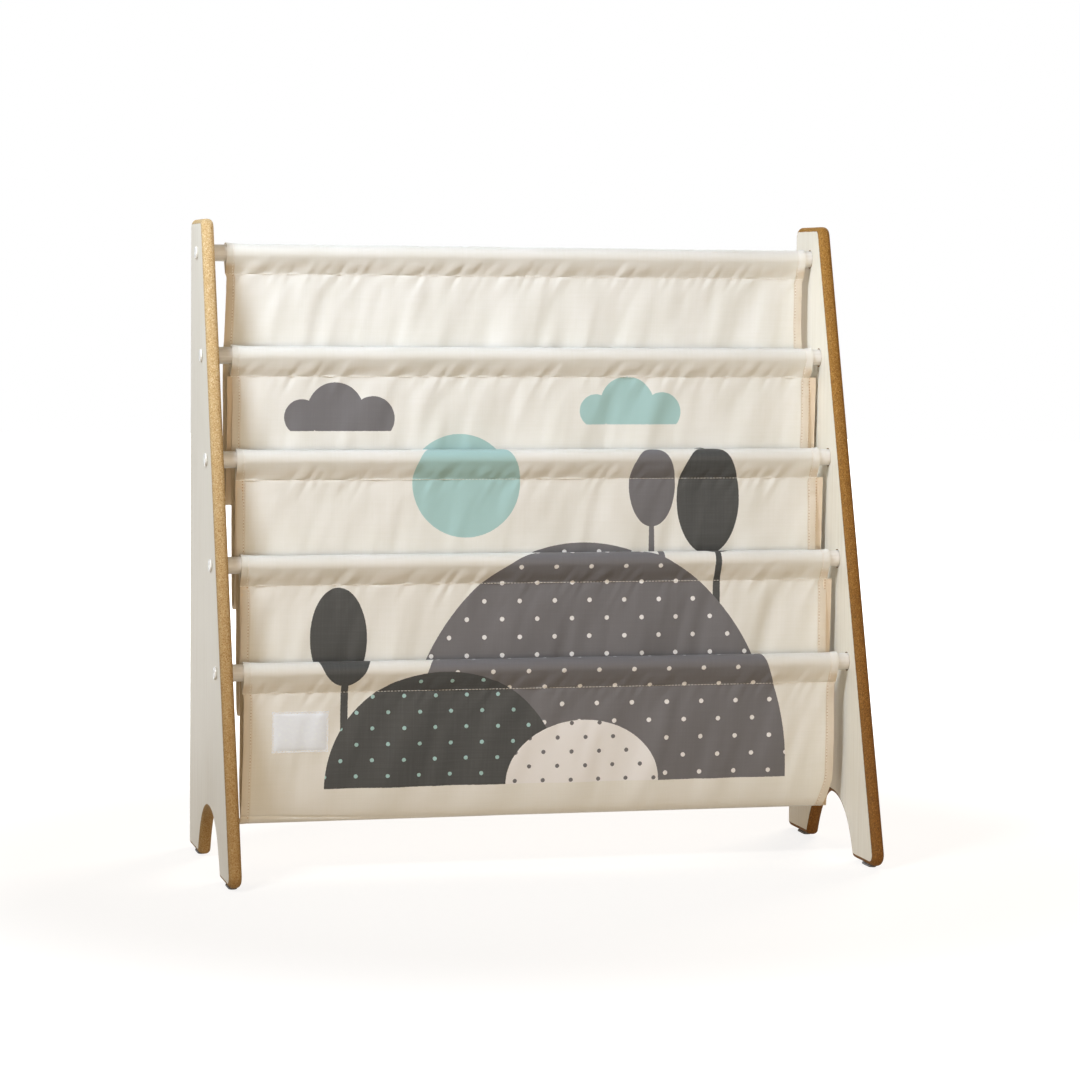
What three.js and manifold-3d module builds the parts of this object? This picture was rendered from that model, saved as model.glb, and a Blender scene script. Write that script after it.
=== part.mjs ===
// A children's sling bookshelf: two side panels of MDF, five round rods clamped between them, and
// a canvas sling that hangs from the rods in four book pockets, each in front of and below the last.
// Millimetres. +X is to the right, the front faces -Y, and +Z is up. The origin is on the floor,
// under the middle of the object. Rods and pockets are counted from the top down.
import * as THREE from "three";
import { mergeVertices } from "three/addons/utils/BufferGeometryUtils.js";
import Module from "manifold-3d";

const wasm = await Module();
wasm.setup();

// Overall sizes.
const overallWidth = 618; // over the outer faces of the panels
const panelHeight = 600;
const footDepth = 260; // a panel, front to back, at its feet, before its toe is rounded
const topDepth = 71; // and at its top

// Clearances.
const fitGap = 0.3; // between pieces that touch
const overrun = 2; // how far a cutter stands out of what it cuts

// Side panels.
const boardThickness = 12;
const arrisRadius = 3.5; // rounding of both long edges, all the way round
const topCornerRadius = 10;
const toeRadius = 11; // front foot, at the front
const heelRadius = 6; // rear foot, at the back
const archFootRadius = 4; // both feet, at the arch
const archWidth = 133;
const archHeight = 53;
const archInset = 129; // from a panel's rear edge to the arch's middle
// The arch's side, as a curve's two handles: shares of its half width and of its height.
const archHandleShares = [
  [0.84, 0.49],
  [0.6, 1],
];

// Glide pads.
const glideLength = 24;
const glideWidth = 8;
const glideThickness = 2;
const glideEdgeRadius = 0.5;
const frontGlideInset = 32; // from a panel's front at the floor to the pad's middle
const rearGlideInset = 35.5; // and from its rear edge

// Rods.
const rodCount = 5;
const rodDiameter = 16;
const rodChamfer = 0.6;
const topRodDrop = 31.6; // from a panel's top to the top rod's axis
const topRodInset = 45; // from a panel's rear edge to the top rod's axis
const lowestRodInset = 29.525; // from a panel's front edge, at its height, to the lowest rod's axis
const rodPitchDown = 95.85;
const socketDepth = 4; // a blind hole in the panel's inner face for the rod's end
const socketClearance = 0.6; // all round the rod

// Connector bolts and threaded inserts.
const boltDiameter = 6;
const boltReach = 20; // from the panel's outer face to the bolt's tip
const boltChamfer = 0.8;
const boltClearance = 0.5; // all round the bolt, in the panel
const headDiameter = 12;
const headThickness = 1.8;
const headEdgeRadius = 0.9;
const hexKey = 4; // across the flats of the socket in the head
const hexDepth = 2.6;
const insertDiameter = 9.4;
const insertLength = 14;
const insertHoleSpare = 3; // how much deeper than the insert its hole is

// Canvas sling.
const clothThickness = 1.2;
const seamDrop = 19.4; // from a rod's axis to the seam that closes its sleeve
const seamLip = 1.5; // height of the closed cloth at that seam
const pocketDepth = 141; // from the axis of a pocket's front rod to the pocket's lowest line
const sleeveLeftGaps = [14.5, 15.2, 15.3, 14.6, 12.4]; // from the left panel to each sleeve
const sleeveRightGaps = [6.8, 8.6, 11.1, 9.9, 11]; // from each sleeve to the right panel
const seamInset = 1.4; // how far the cloth under a seam is drawn in at each end
const cornerDraw = 8; // how far a pocket's right bottom corner is drawn in
const cornerHeight = 30; // and the height over which it is
const cornerCurve = 1.4; // the power that shapes it
const foldTurnHeight = 12; // height of the rear layer's turn that belongs to the pocket's front

// The main folds of each pocket's rear layer, where it shows. Each one is a soft ridge:
// [place, width, depth, lean], the place and width as shares of the cloth's width, the depth as a
// share of ridgeDepth, and the lean as the sideways share by which it runs off towards the bottom.
const ridgeDepth = 2.6;
const ridgeShares = [
  [
    [0.17, 0.035, 0.8, -0.1],
    [0.36, 0.04, 1, -0.09],
    [0.5, 0.03, 1, -0.05],
    [0.62, 0.03, 0.7, 0],
    [0.77, 0.04, 0.8, 0.02],
    [0.9, 0.03, 0.7, -0.02],
  ],
  [
    [0.12, 0.03, 0.9, -0.03],
    [0.24, 0.03, 0.8, -0.04],
    [0.34, 0.03, 0.9, -0.02],
    [0.56, 0.04, 0.7, 0],
    [0.7, 0.03, 0.9, 0.01],
    [0.86, 0.04, 0.6, 0.02],
  ],
  [
    [0.1, 0.03, 0.8, -0.03],
    [0.3, 0.04, 0.7, -0.04],
    [0.48, 0.03, 0.6, 0],
    [0.65, 0.03, 1, 0],
    [0.88, 0.04, 0.8, 0.03],
  ],
  [
    [0.12, 0.04, 0.8, -0.05],
    [0.27, 0.03, 0.8, -0.03],
    [0.46, 0.035, 1, -0.02],
    [0.66, 0.03, 0.9, 0],
    [0.83, 0.03, 1, 0.03],
  ],
];
const frontRidgeShares = [
  [0.1, 0.04, 0.6, -0.02],
  [0.29, 0.04, 0.9, -0.06],
  [0.42, 0.04, 0.7, -0.02],
  [0.55, 0.035, 0.8, 0],
  [0.73, 0.03, 1, -0.07],
  [0.9, 0.04, 0.6, 0.02],
];
const ridgeRiseShare = 0.35; // share of the layer's height over which a ridge rises from the seam

// Label patch.
const labelWidth = 53;
const labelHeight = 38;
const labelThickness = 1;
const labelInset = 26; // from the pocket's left end
const labelDrop = 17; // from the lowest seam

// How finely round and hanging surfaces are cut into flats.
const rodSides = 24;
const boltSides = 16;
const cornerSteps = 4;
const arrisSteps = 3;
const archSteps = 9;
const sleeveSteps = 14;
const foldedColumns = 26;
const plainColumns = 3;
const layerRows = 7;
const turnRows = 7;

// Places that several pieces share. The rounded toe is where a panel reaches furthest forward.
const toeHalfAngle = (Math.PI / 2 - Math.atan2(footDepth - topDepth, panelHeight)) / 2;
const rearEdge = (footDepth + toeRadius - toeRadius / Math.tan(toeHalfAngle)) / 2;
const frontEdge = rearEdge - footDepth;
const footLevel = glideThickness + fitGap;
const innerFace = overallWidth / 2 - boardThickness;
const rodRadius = rodDiameter / 2;
const rodZ = (rod) => footLevel + panelHeight - topRodDrop - rodPitchDown * rod;
const frontY = (z) => frontEdge + ((footDepth - topDepth) * (z - footLevel)) / panelHeight;
const topRodY = rearEdge - topRodInset;
const lowestRodY = frontY(rodZ(rodCount - 1)) + lowestRodInset;
const rodY = (rod) => topRodY + ((lowestRodY - topRodY) * rod) / (rodCount - 1);
const seamZ = (rod) => rodZ(rod) - seamDrop;
const layerSpacing = (clothThickness + fitGap) / 2; // a layer's middle, off the seam's plane
const lastPocket = rodCount - 2;
const sleeveEnds = (rod) => [-innerFace + sleeveLeftGaps[rod], innerFace - sleeveRightGaps[rod]];

// A finish of its own for each piece.
const finish = (color, roughness, metalness = 0) => () =>
  new THREE.MeshStandardMaterial({ color, roughness, metalness });
const paintedBoard = finish(0xd9d4c7, 0.55);
const paintedWood = finish(0xe6e2d8, 0.5);
const whiteEnamel = finish(0xefece4, 0.4);
const zincSteel = finish(0xb9bcc0, 0.35, 0.9);
const greyFelt = finish(0x7b7b7d, 0.9);
const canvas = finish(0xe7e2d8, 0.85);
const wovenLabel = finish(0xe0dee0, 0.85);

const bookshelf = new THREE.Group();

function addPiece(name, geometry, material) {
  const piece = new THREE.Mesh(geometry, material());
  piece.name = name;
  bookshelf.add(piece);
  return piece;
}

// Booleans.

function solidOf(geometry) {
  const bare = geometry.clone();
  bare.deleteAttribute("normal");
  bare.deleteAttribute("uv");
  const merged = mergeVertices(bare);
  return new wasm.Manifold(
    new wasm.Mesh({
      numProp: 3,
      vertProperties: new Float32Array(merged.attributes.position.array),
      triVerts: new Uint32Array(merged.index.array),
    }),
  );
}

function geometryOf(solid) {
  const mesh = solid.getMesh();
  const geometry = new THREE.BufferGeometry();
  geometry.setAttribute("position", new THREE.BufferAttribute(mesh.vertProperties, mesh.numProp));
  geometry.setIndex(new THREE.BufferAttribute(mesh.triVerts, 1));
  geometry.computeVertexNormals();
  return geometry;
}

// Cuts each cutter out of a geometry.
function cutOut(geometry, cutters) {
  const whole = solidOf(geometry);
  return geometryOf(cutters.reduce((left, cutter) => left.subtract(solidOf(cutter)), whole));
}

// Shapes.

// Turns a geometry drawn with x as depth and y as height, extruded along z, to lie along +X.
const alongX = (geometry) =>
  geometry.applyMatrix4(
    new THREE.Matrix4().makeBasis(
      new THREE.Vector3(0, 1, 0),
      new THREE.Vector3(0, 0, 1),
      new THREE.Vector3(1, 0, 0),
    ),
  );

// A bar or hole of round section along +X, its middle at the origin.
const barAlongX = (radius, length, sides) =>
  new THREE.CylinderGeometry(radius, radius, length, sides).rotateZ(-Math.PI / 2);

// A turned piece: its profile is given as [place along +X, radius] and starts and ends on the axis
// or closes on itself.
function turned(profile, sides) {
  const points = profile.map(([along, radius]) => new THREE.Vector2(radius, along));
  return new THREE.LatheGeometry(points, sides).rotateZ(-Math.PI / 2);
}

// The points of a rounded corner between two straight sides.
function roundedCorner(before, corner, after, radius) {
  const towardsBefore = before.clone().sub(corner).normalize();
  const towardsAfter = after.clone().sub(corner).normalize();
  const halfAngle = Math.acos(towardsBefore.dot(towardsAfter)) / 2;
  const bisector = towardsBefore.clone().add(towardsAfter).normalize();
  const centre = corner.clone().addScaledVector(bisector, radius / Math.sin(halfAngle));
  const reach = radius / Math.tan(halfAngle);
  const first = corner.clone().addScaledVector(towardsBefore, reach).sub(centre);
  const last = corner.clone().addScaledVector(towardsAfter, reach).sub(centre);
  const sweep = Math.atan2(first.cross(last), first.dot(last));
  return Array.from({ length: cornerSteps + 1 }, (_, step) =>
    first.clone().rotateAround(new THREE.Vector2(), (sweep * step) / cornerSteps).add(centre),
  );
}

// Side panels, drawn as seen from the right: depth to the right, height up.

function archSide() {
  const half = archWidth / 2;
  const [low, high] = archHandleShares;
  const curve = new THREE.CubicBezierCurve(
    new THREE.Vector2(half, footLevel),
    new THREE.Vector2(half * low[0], footLevel + archHeight * low[1]),
    new THREE.Vector2(half * high[0], footLevel + archHeight * high[1]),
    new THREE.Vector2(0, footLevel + archHeight),
  );
  return curve.getPoints(archSteps);
}

function panelOutline() {
  const top = footLevel + panelHeight;
  const arch = rearEdge - archInset;
  const rearSide = archSide().map((point) => new THREE.Vector2(arch + point.x, point.y));
  const frontSide = archSide().map((point) => new THREE.Vector2(arch - point.x, point.y));
  const heel = new THREE.Vector2(rearEdge, footLevel);
  const rearTop = new THREE.Vector2(rearEdge, top);
  const frontTop = new THREE.Vector2(rearEdge - topDepth, top);
  const toe = new THREE.Vector2(frontEdge, footLevel);
  return [
    ...roundedCorner(rearSide[0], heel, rearTop, heelRadius),
    ...roundedCorner(heel, rearTop, frontTop, topCornerRadius),
    ...roundedCorner(rearTop, frontTop, toe, topCornerRadius),
    ...roundedCorner(frontTop, toe, frontSide[0], toeRadius),
    ...roundedCorner(toe, frontSide[0], frontSide[1], archFootRadius),
    ...frontSide.slice(2),
    ...rearSide.slice(2, -1).reverse(),
    ...roundedCorner(rearSide[1], rearSide[0], heel, archFootRadius),
  ];
}

function sidePanel(side) {
  const board = alongX(
    new THREE.ExtrudeGeometry(new THREE.Shape(panelOutline()), {
      depth: boardThickness - 2 * arrisRadius,
      bevelThickness: arrisRadius,
      bevelSize: arrisRadius,
      bevelOffset: -arrisRadius,
      bevelSegments: arrisSteps,
    }),
  ).translate(arrisRadius - boardThickness / 2, 0, 0);
  const cutters = [];
  for (let rod = 0; rod < rodCount; rod++) {
    const socketLength = socketDepth + overrun;
    const socket = barAlongX(rodRadius + socketClearance, socketLength, rodSides);
    socket.translate(-side * (boardThickness / 2 - socketDepth + socketLength / 2), 0, 0);
    const boltHole = barAlongX(
      boltDiameter / 2 + boltClearance,
      boardThickness + 2 * overrun,
      boltSides,
    );
    for (const cutter of [socket, boltHole]) cutters.push(cutter.translate(0, rodY(rod), rodZ(rod)));
  }
  return cutOut(board, cutters).translate(side * (innerFace + boardThickness / 2), 0, 0);
}

function glide(side, y) {
  const straight = (glideLength - glideWidth) / 2;
  const round = glideWidth / 2 - glideEdgeRadius;
  const outline = new THREE.Shape();
  outline.absarc(0, straight, round, 0, Math.PI);
  outline.absarc(0, -straight, round, Math.PI, 2 * Math.PI);
  return new THREE.ExtrudeGeometry(outline, {
    depth: glideThickness - 2 * glideEdgeRadius,
    bevelThickness: glideEdgeRadius,
    bevelSize: glideEdgeRadius,
    bevelSegments: 1,
    curveSegments: cornerSteps,
  }).translate(side * (innerFace + boardThickness / 2), y, glideEdgeRadius);
}

// Rods, inserts and bolts.

const rodHalf = innerFace + socketDepth - fitGap;

function rodGeometry() {
  const holeRadius = insertDiameter / 2 + fitGap;
  const holeEnd = rodHalf - insertLength - insertHoleSpare;
  const half = [
    [holeEnd, 0],
    [holeEnd, holeRadius],
    [rodHalf, holeRadius],
    [rodHalf, rodRadius - rodChamfer],
    [rodHalf - rodChamfer, rodRadius],
  ];
  const mirrored = half.map(([along, radius]) => [-along, radius]);
  return turned([...mirrored, ...half.reverse()], rodSides);
}

// Flush with the rod's right end, its hole sized for the bolt.
function insertGeometry() {
  const outer = insertDiameter / 2;
  const inner = boltDiameter / 2 + fitGap;
  const start = rodHalf - insertLength;
  return turned(
    [
      [start, inner],
      [start, outer],
      [rodHalf, outer],
      [rodHalf, inner],
      [start, inner],
    ],
    boltSides,
  );
}

// Its head lies on the right panel's outer face.
function boltGeometry() {
  const seat = overallWidth / 2 + fitGap;
  const tip = overallWidth / 2 - boltReach;
  const shank = boltDiameter / 2;
  const head = headDiameter / 2;
  const bolt = turned(
    [
      [tip, 0],
      [tip, shank - boltChamfer],
      [tip + boltChamfer, shank],
      [seat, shank],
      [seat, head],
      [seat + headThickness - headEdgeRadius, head],
      [seat + headThickness, head - headEdgeRadius],
      [seat + headThickness, 0],
    ],
    boltSides,
  );
  const corner = hexKey / 2 / Math.cos(Math.PI / 6);
  const length = hexDepth + overrun;
  const key = barAlongX(corner, length, 6);
  return cutOut(bolt, [key.translate(seat + headThickness - hexDepth + length / 2, 0, 0)]);
}

// Sling.

// A sleeve's section round its rod: an arc over the rod, and straight down to the seam.
function sleeveOutline(radius, seamHalf, drop) {
  const toSeam = Math.hypot(seamHalf, drop);
  const fromDown = Math.atan2(seamHalf, drop) + Math.acos(radius / toSeam);
  const points = Array.from({ length: sleeveSteps + 1 }, (_, step) => {
    const angle = fromDown + ((2 * Math.PI - 2 * fromDown) * step) / sleeveSteps;
    return new THREE.Vector2(radius * Math.sin(angle), -radius * Math.cos(angle));
  });
  points.push(new THREE.Vector2(-seamHalf, -drop));
  if (seamHalf > 0) points.push(new THREE.Vector2(seamHalf, -drop));
  return points;
}

function sleeve(rod) {
  const [left, right] = sleeveEnds(rod);
  const inside = rodRadius + fitGap;
  const section = new THREE.Shape(
    sleeveOutline(inside + clothThickness, clothThickness + fitGap / 2, seamDrop),
  );
  section.holes.push(new THREE.Path(sleeveOutline(inside, 0, seamDrop - seamLip)));
  const geometry = new THREE.ExtrudeGeometry(section, { depth: right - left, bevelEnabled: false });
  return alongX(geometry).translate(left, rodY(rod), rodZ(rod));
}

// The curve of a pocket that hangs from two seams, a catenary: its places are given by the length
// of cloth from the lowest line, positive on the rear layer.
function pocketCurve(pocket) {
  const lowest = rodZ(pocket + 1) - pocketDepth;
  const rearTop = { y: rodY(pocket) - layerSpacing, z: seamZ(pocket) - fitGap };
  const frontTop = { y: rodY(pocket + 1) + layerSpacing, z: seamZ(pocket + 1) - fitGap };
  const span = rearTop.y - frontTop.y;
  const turnTo = (z, scale) => Math.acosh(1 + (z - lowest) / scale);
  let low = span / 1000;
  let high = span;
  for (let step = 0; step < 50; step++) {
    const scale = (low + high) / 2;
    if (scale * (turnTo(rearTop.z, scale) + turnTo(frontTop.z, scale)) < span) low = scale;
    else high = scale;
  }
  const middle = rearTop.y - high * turnTo(rearTop.z, high);
  const lengthTo = (z) => high * Math.sinh(turnTo(z, high));
  return {
    lowest,
    rearLength: lengthTo(rearTop.z),
    frontLength: lengthTo(frontTop.z),
    turnLength: lengthTo(lowest + foldTurnHeight),
    place(length) {
      const turn = Math.asinh(length / high);
      return { y: middle + high * turn, z: lowest + high * (Math.cosh(turn) - 1) };
    },
  };
}

// How far the folds push the cloth forward at a share of its width and of its way to the fold.
function ridgeAt(ridges, across, down) {
  const rise = Math.min(down / ridgeRiseShare, 1) * (1 - down ** 3);
  return ridges.reduce((sum, [place, width, depth, lean]) => {
    const offset = (across - place - lean * down) / width;
    return sum + ridgeDepth * depth * rise * Math.exp(-offset * offset);
  }, 0);
}

// The middle surface of a pocket's cloth, at a share of its width and a length from its fold.
function pocketSurface(pocket) {
  const curve = pocketCurve(pocket);
  const rearEnds = sleeveEnds(pocket);
  const frontEnds = sleeveEnds(pocket + 1);
  return (across, length) => {
    const rear = length > 0;
    const down = 1 - Math.abs(length) / (rear ? curve.rearLength : curve.frontLength);
    const { y, z } = curve.place(length);
    const ends = [0, 1].map((end) => {
      const seamEnd = (rear ? rearEnds : frontEnds)[end];
      const foldEnd = (rearEnds[end] + frontEnds[end]) / 2;
      return seamEnd + (foldEnd - seamEnd) * down;
    });
    const draw = Math.max(0, 1 - (z - curve.lowest) / cornerHeight) ** cornerCurve;
    const left = ends[0] + seamInset * (1 - down);
    const right = ends[1] - seamInset * (1 - down) - cornerDraw * draw;
    const frontRidges = pocket === lastPocket ? frontRidgeShares : [];
    const ridges = rear ? ridgeShares[pocket] : frontRidges;
    const x = left + (right - left) * across;
    return new THREE.Vector3(x, y - ridgeAt(ridges, across, down), z);
  };
}

// A sheet of even thickness on both sides of a pocket's surface, from its places on a grid. The
// normals face into the pocket, and the offset is how far the sheet lies towards it.
function sheet(surface, columns, rows, thickness, offset = 0) {
  const nudge = clothThickness / 100;
  const inside = [];
  const outside = [];
  for (const row of rows)
    for (const column of columns) {
      const here = surface(column, row);
      const along = surface(column + nudge / overallWidth, row).sub(here);
      const normal = surface(column, row + nudge).sub(here).cross(along).normalize().negate();
      inside.push(here.clone().addScaledVector(normal, offset + thickness / 2));
      outside.push(here.clone().addScaledVector(normal, offset - thickness / 2));
    }
  const wide = columns.length;
  const high = rows.length;
  const faces = [];
  const quad = (a, b, c, d) => faces.push(a, b, c, a, c, d);
  const back = inside.length;
  for (let row = 0; row < high - 1; row++)
    for (let column = 0; column < wide - 1; column++) {
      const corner = row * wide + column;
      quad(corner, corner + 1, corner + wide + 1, corner + wide);
      quad(back + corner, back + corner + wide, back + corner + wide + 1, back + corner + 1);
    }
  const rim = [];
  for (let column = 0; column < wide - 1; column++) rim.push(column);
  for (let row = 0; row < high - 1; row++) rim.push(row * wide + wide - 1);
  for (let column = wide - 1; column > 0; column--) rim.push((high - 1) * wide + column);
  for (let row = high - 1; row > 0; row--) rim.push(row * wide);
  rim.forEach((corner, index) => {
    const next = rim[(index + 1) % rim.length];
    quad(next, corner, back + corner, back + next);
  });
  const geometry = new THREE.BufferGeometry().setFromPoints([...inside, ...outside]);
  geometry.setIndex(faces);
  geometry.computeVertexNormals();
  return geometry;
}

// Even steps from one value to another, both included.
const steps = (from, to, count) =>
  Array.from({ length: count + 1 }, (_, step) => from + ((to - from) * step) / count);

const foldedPlaces = steps(0, 1, foldedColumns);
const frontRows = (curve) => steps(-curve.frontLength, -curve.turnLength, layerRows);

function pocketBack(pocket) {
  const curve = pocketCurve(pocket);
  const rows = steps(curve.turnLength + fitGap, curve.rearLength, layerRows);
  return sheet(pocketSurface(pocket), foldedPlaces, rows, clothThickness);
}

// The front layer, with the turn at the pocket's bottom. Only the lowest one shows its folds.
function pocketFront(pocket) {
  const curve = pocketCurve(pocket);
  const turn = steps(-curve.turnLength, curve.turnLength, turnRows).slice(1);
  const rows = [...frontRows(curve), ...turn];
  const columns = pocket === lastPocket ? foldedPlaces : steps(0, 1, plainColumns);
  return sheet(pocketSurface(pocket), columns, rows, clothThickness);
}

// Two places, and those of a grid that lie between them.
const within = (grid, from, to) => [from, ...grid.filter((place) => place > from && place < to), to];

// On the front of the lowest pocket. It bends where the cloth that it is sewn to does.
function labelPatch() {
  const curve = pocketCurve(lastPocket);
  const [left, right] = sleeveEnds(rodCount - 1);
  const start = labelInset / (right - left);
  const end = start + labelWidth / (right - left);
  const top = -curve.frontLength + labelDrop;
  const rows = within(frontRows(curve), top, top + labelHeight);
  const offset = -(clothThickness + labelThickness) / 2 - fitGap;
  const columns = within(foldedPlaces, start, end);
  return sheet(pocketSurface(lastPocket), columns, rows, labelThickness, offset);
}

// Assembly.

for (const [sideName, side] of [["left", -1], ["right", 1]]) {
  addPiece(`${sideName}_side_panel`, sidePanel(side), paintedBoard);
  const frontGlide = glide(side, frontEdge + frontGlideInset);
  const rearGlide = glide(side, rearEdge - rearGlideInset);
  addPiece(`${sideName}_front_glide`, frontGlide, greyFelt);
  addPiece(`${sideName}_rear_glide`, rearGlide, greyFelt);
  for (let rod = 0; rod < rodCount; rod++) {
    const bolt = addPiece(`${sideName}_bolt_${rod + 1}`, boltGeometry(), whiteEnamel);
    const insert = addPiece(`${sideName}_insert_${rod + 1}`, insertGeometry(), zincSteel);
    for (const piece of [bolt, insert]) {
      piece.position.set(0, rodY(rod), rodZ(rod));
      if (side < 0) piece.rotation.z = Math.PI;
    }
  }
}
for (let rod = 0; rod < rodCount; rod++) {
  const rodPiece = addPiece(`rod_${rod + 1}`, rodGeometry(), paintedWood);
  rodPiece.position.set(0, rodY(rod), rodZ(rod));
  addPiece(`sling_sleeve_${rod + 1}`, sleeve(rod), canvas);
}
for (let pocket = 0; pocket <= lastPocket; pocket++) {
  addPiece(`pocket_back_${pocket + 1}`, pocketBack(pocket), canvas);
  addPiece(`pocket_front_${pocket + 1}`, pocketFront(pocket), canvas);
}
addPiece("label_patch", labelPatch(), wovenLabel);

export default bookshelf;
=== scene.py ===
"""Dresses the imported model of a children's sling bookshelf in Blender 4.5.

Sizes are in millimetres, as in the part's source, and MM turns them into Blender's metres. +X is
to the right, the front faces -Y and +Z is up. Rods and cloth panels are counted from the top down.
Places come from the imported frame: rods, sleeves and pockets are read from their nodes' boxes.
"""

from __future__ import annotations

import logging
import math
from dataclasses import dataclass, field
from enum import Enum
from functools import partial, reduce
from typing import Any, Sequence

import bpy
import numpy as np
from mathutils import Matrix, Vector
from mathutils.geometry import tessellate_polygon

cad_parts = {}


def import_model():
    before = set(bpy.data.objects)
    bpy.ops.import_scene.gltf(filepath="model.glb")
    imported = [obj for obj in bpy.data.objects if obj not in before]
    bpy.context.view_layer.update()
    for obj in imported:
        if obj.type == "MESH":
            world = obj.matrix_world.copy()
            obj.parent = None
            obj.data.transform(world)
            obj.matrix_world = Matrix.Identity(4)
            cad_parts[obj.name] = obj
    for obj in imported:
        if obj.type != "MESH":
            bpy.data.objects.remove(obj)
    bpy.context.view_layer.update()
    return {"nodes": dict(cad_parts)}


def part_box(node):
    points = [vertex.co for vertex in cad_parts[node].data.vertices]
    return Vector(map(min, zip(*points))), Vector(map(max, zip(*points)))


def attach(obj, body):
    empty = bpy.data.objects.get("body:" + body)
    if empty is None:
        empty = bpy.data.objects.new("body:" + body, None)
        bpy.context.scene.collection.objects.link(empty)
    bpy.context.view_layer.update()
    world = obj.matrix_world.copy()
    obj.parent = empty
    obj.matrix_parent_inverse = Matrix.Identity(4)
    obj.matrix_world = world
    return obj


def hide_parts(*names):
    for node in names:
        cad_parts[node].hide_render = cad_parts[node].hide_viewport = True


MM = 0.001
BODY = "root"
LOG = logging.getLogger("sling_bookshelf")

Points = np.ndarray
Faces = list[tuple[int, ...]]
Line = tuple[Points, Points]  # a line's points, and the way that its stitches face there


class Side(Enum):
    """The two ends of the bookshelf, by the sign of their x."""

    LEFT = -1
    RIGHT = 1

    @property
    def label(self) -> str:
        """The side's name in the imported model's node names."""
        return self.name.lower()


# Colour and node helpers.


def linear(hex_colour: str) -> tuple[float, float, float, float]:
    """Turns an sRGB hex colour into the linear colour that Blender's sockets take.

    Args:
        hex_colour: the colour as "#rrggbb".

    Returns:
        Red, green, blue and an alpha of 1.
    """
    channels = [int(hex_colour[start : start + 2], 16) / 255 for start in (1, 3, 5)]
    bright = [c / 12.92 if c <= 0.04045 else ((c + 0.055) / 1.055) ** 2.4 for c in channels]
    return (bright[0], bright[1], bright[2], 1.0)


def add_node(
    tree: bpy.types.NodeTree,
    kind: str,
    inputs: dict[str | int, Any] | None = None,
    **settings: Any,
) -> bpy.types.Node:
    """Adds one node to a tree.

    Args:
        tree: a shader or geometry tree.
        kind: the node's type name.
        inputs: a value, a hex colour or another node's output, for each input by its name or
            number.
        settings: the node's own properties.

    Returns:
        The node.
    """
    node = tree.nodes.new(kind)
    for name, value in settings.items():
        setattr(node, name, value)
    for key, value in (inputs or {}).items():
        if isinstance(value, bpy.types.NodeSocket):
            tree.links.new(value, node.inputs[key])
        else:
            is_colour = isinstance(value, str) and value.startswith("#")
            node.inputs[key].default_value = linear(value) if is_colour else value
    return node


class Step(Enum):
    """A step of a finish: a node's type and settings, its inputs in order, and its output."""

    ABOVE = ("ShaderNodeMath", {"operation": "GREATER_THAN"})
    ABSOLUTE = ("ShaderNodeMath", {"operation": "ABSOLUTE"})
    ADD = ("ShaderNodeMath", {"operation": "ADD"})
    BELOW = ("ShaderNodeMath", {"operation": "LESS_THAN"})
    DIVIDE = ("ShaderNodeMath", {"operation": "DIVIDE"})
    FRACTION = ("ShaderNodeMath", {"operation": "FRACT"})
    LARGER = ("ShaderNodeMath", {"operation": "MAXIMUM"})
    MULTIPLY = ("ShaderNodeMath", {"operation": "MULTIPLY"})
    MULTIPLY_ADD = ("ShaderNodeMath", {"operation": "MULTIPLY_ADD"})
    SUBTRACT = ("ShaderNodeMath", {"operation": "SUBTRACT"})
    DISTANCE = ("ShaderNodeVectorMath", {"operation": "DISTANCE"}, (0, 1), "Value")
    LENGTH = ("ShaderNodeVectorMath", {"operation": "LENGTH"}, (0,), "Value")
    SHIFT = ("ShaderNodeVectorMath", {"operation": "MULTIPLY_ADD"})
    STRETCH = ("ShaderNodeVectorMath", {"operation": "MULTIPLY"})
    OBJECT_PLACE = ("ShaderNodeTexCoord", {}, (), "Object")
    UV_PLACE = ("ShaderNodeUVMap", {}, (), "UV")
    MAPPING = ("ShaderNodeMapping", {}, ("Vector", "Scale", "Rotation"))
    HEIGHT = ("ShaderNodeSeparateXYZ", {}, (0,), "Y")
    ATTRIBUTE = ("ShaderNodeAttribute", {}, (), "Fac")
    NOISE = ("ShaderNodeTexNoise", {}, ("Vector", "Scale", "Detail"), "Fac")
    NOISE_VECTOR = ("ShaderNodeTexNoise", {}, ("Vector", "Scale"), "Color")
    WAVE = ("ShaderNodeTexWave", {}, ("Vector", "Scale", "Distortion"), "Fac")
    CELLS = ("ShaderNodeTexVoronoi", {}, ("Vector", "Scale", "Randomness"), "Distance")
    RANGE = ("ShaderNodeMapRange", {"interpolation_type": "SMOOTHSTEP"}, (0, 1, 2, 3, 4))
    MIX = ("ShaderNodeMix", {"data_type": "RGBA"}, (0, 6, 7), 2)
    TINT = ("ShaderNodeMix", {"data_type": "RGBA", "blend_type": "MULTIPLY"}, (0, 6, 7), 2)
    BUMP = ("ShaderNodeBump", {}, ("Height", "Distance", "Normal"))

    def __init__(
        self,
        kind: str,
        settings: dict[str, str],
        inputs: tuple[str | int, ...] = (0, 1, 2),
        output: str | int = 0,
    ) -> None:
        """Keeps the names or numbers of the inputs to fill, in order, and of the output."""
        self.kind, self.settings, self.inputs, self.output = kind, settings, inputs, output


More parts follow.
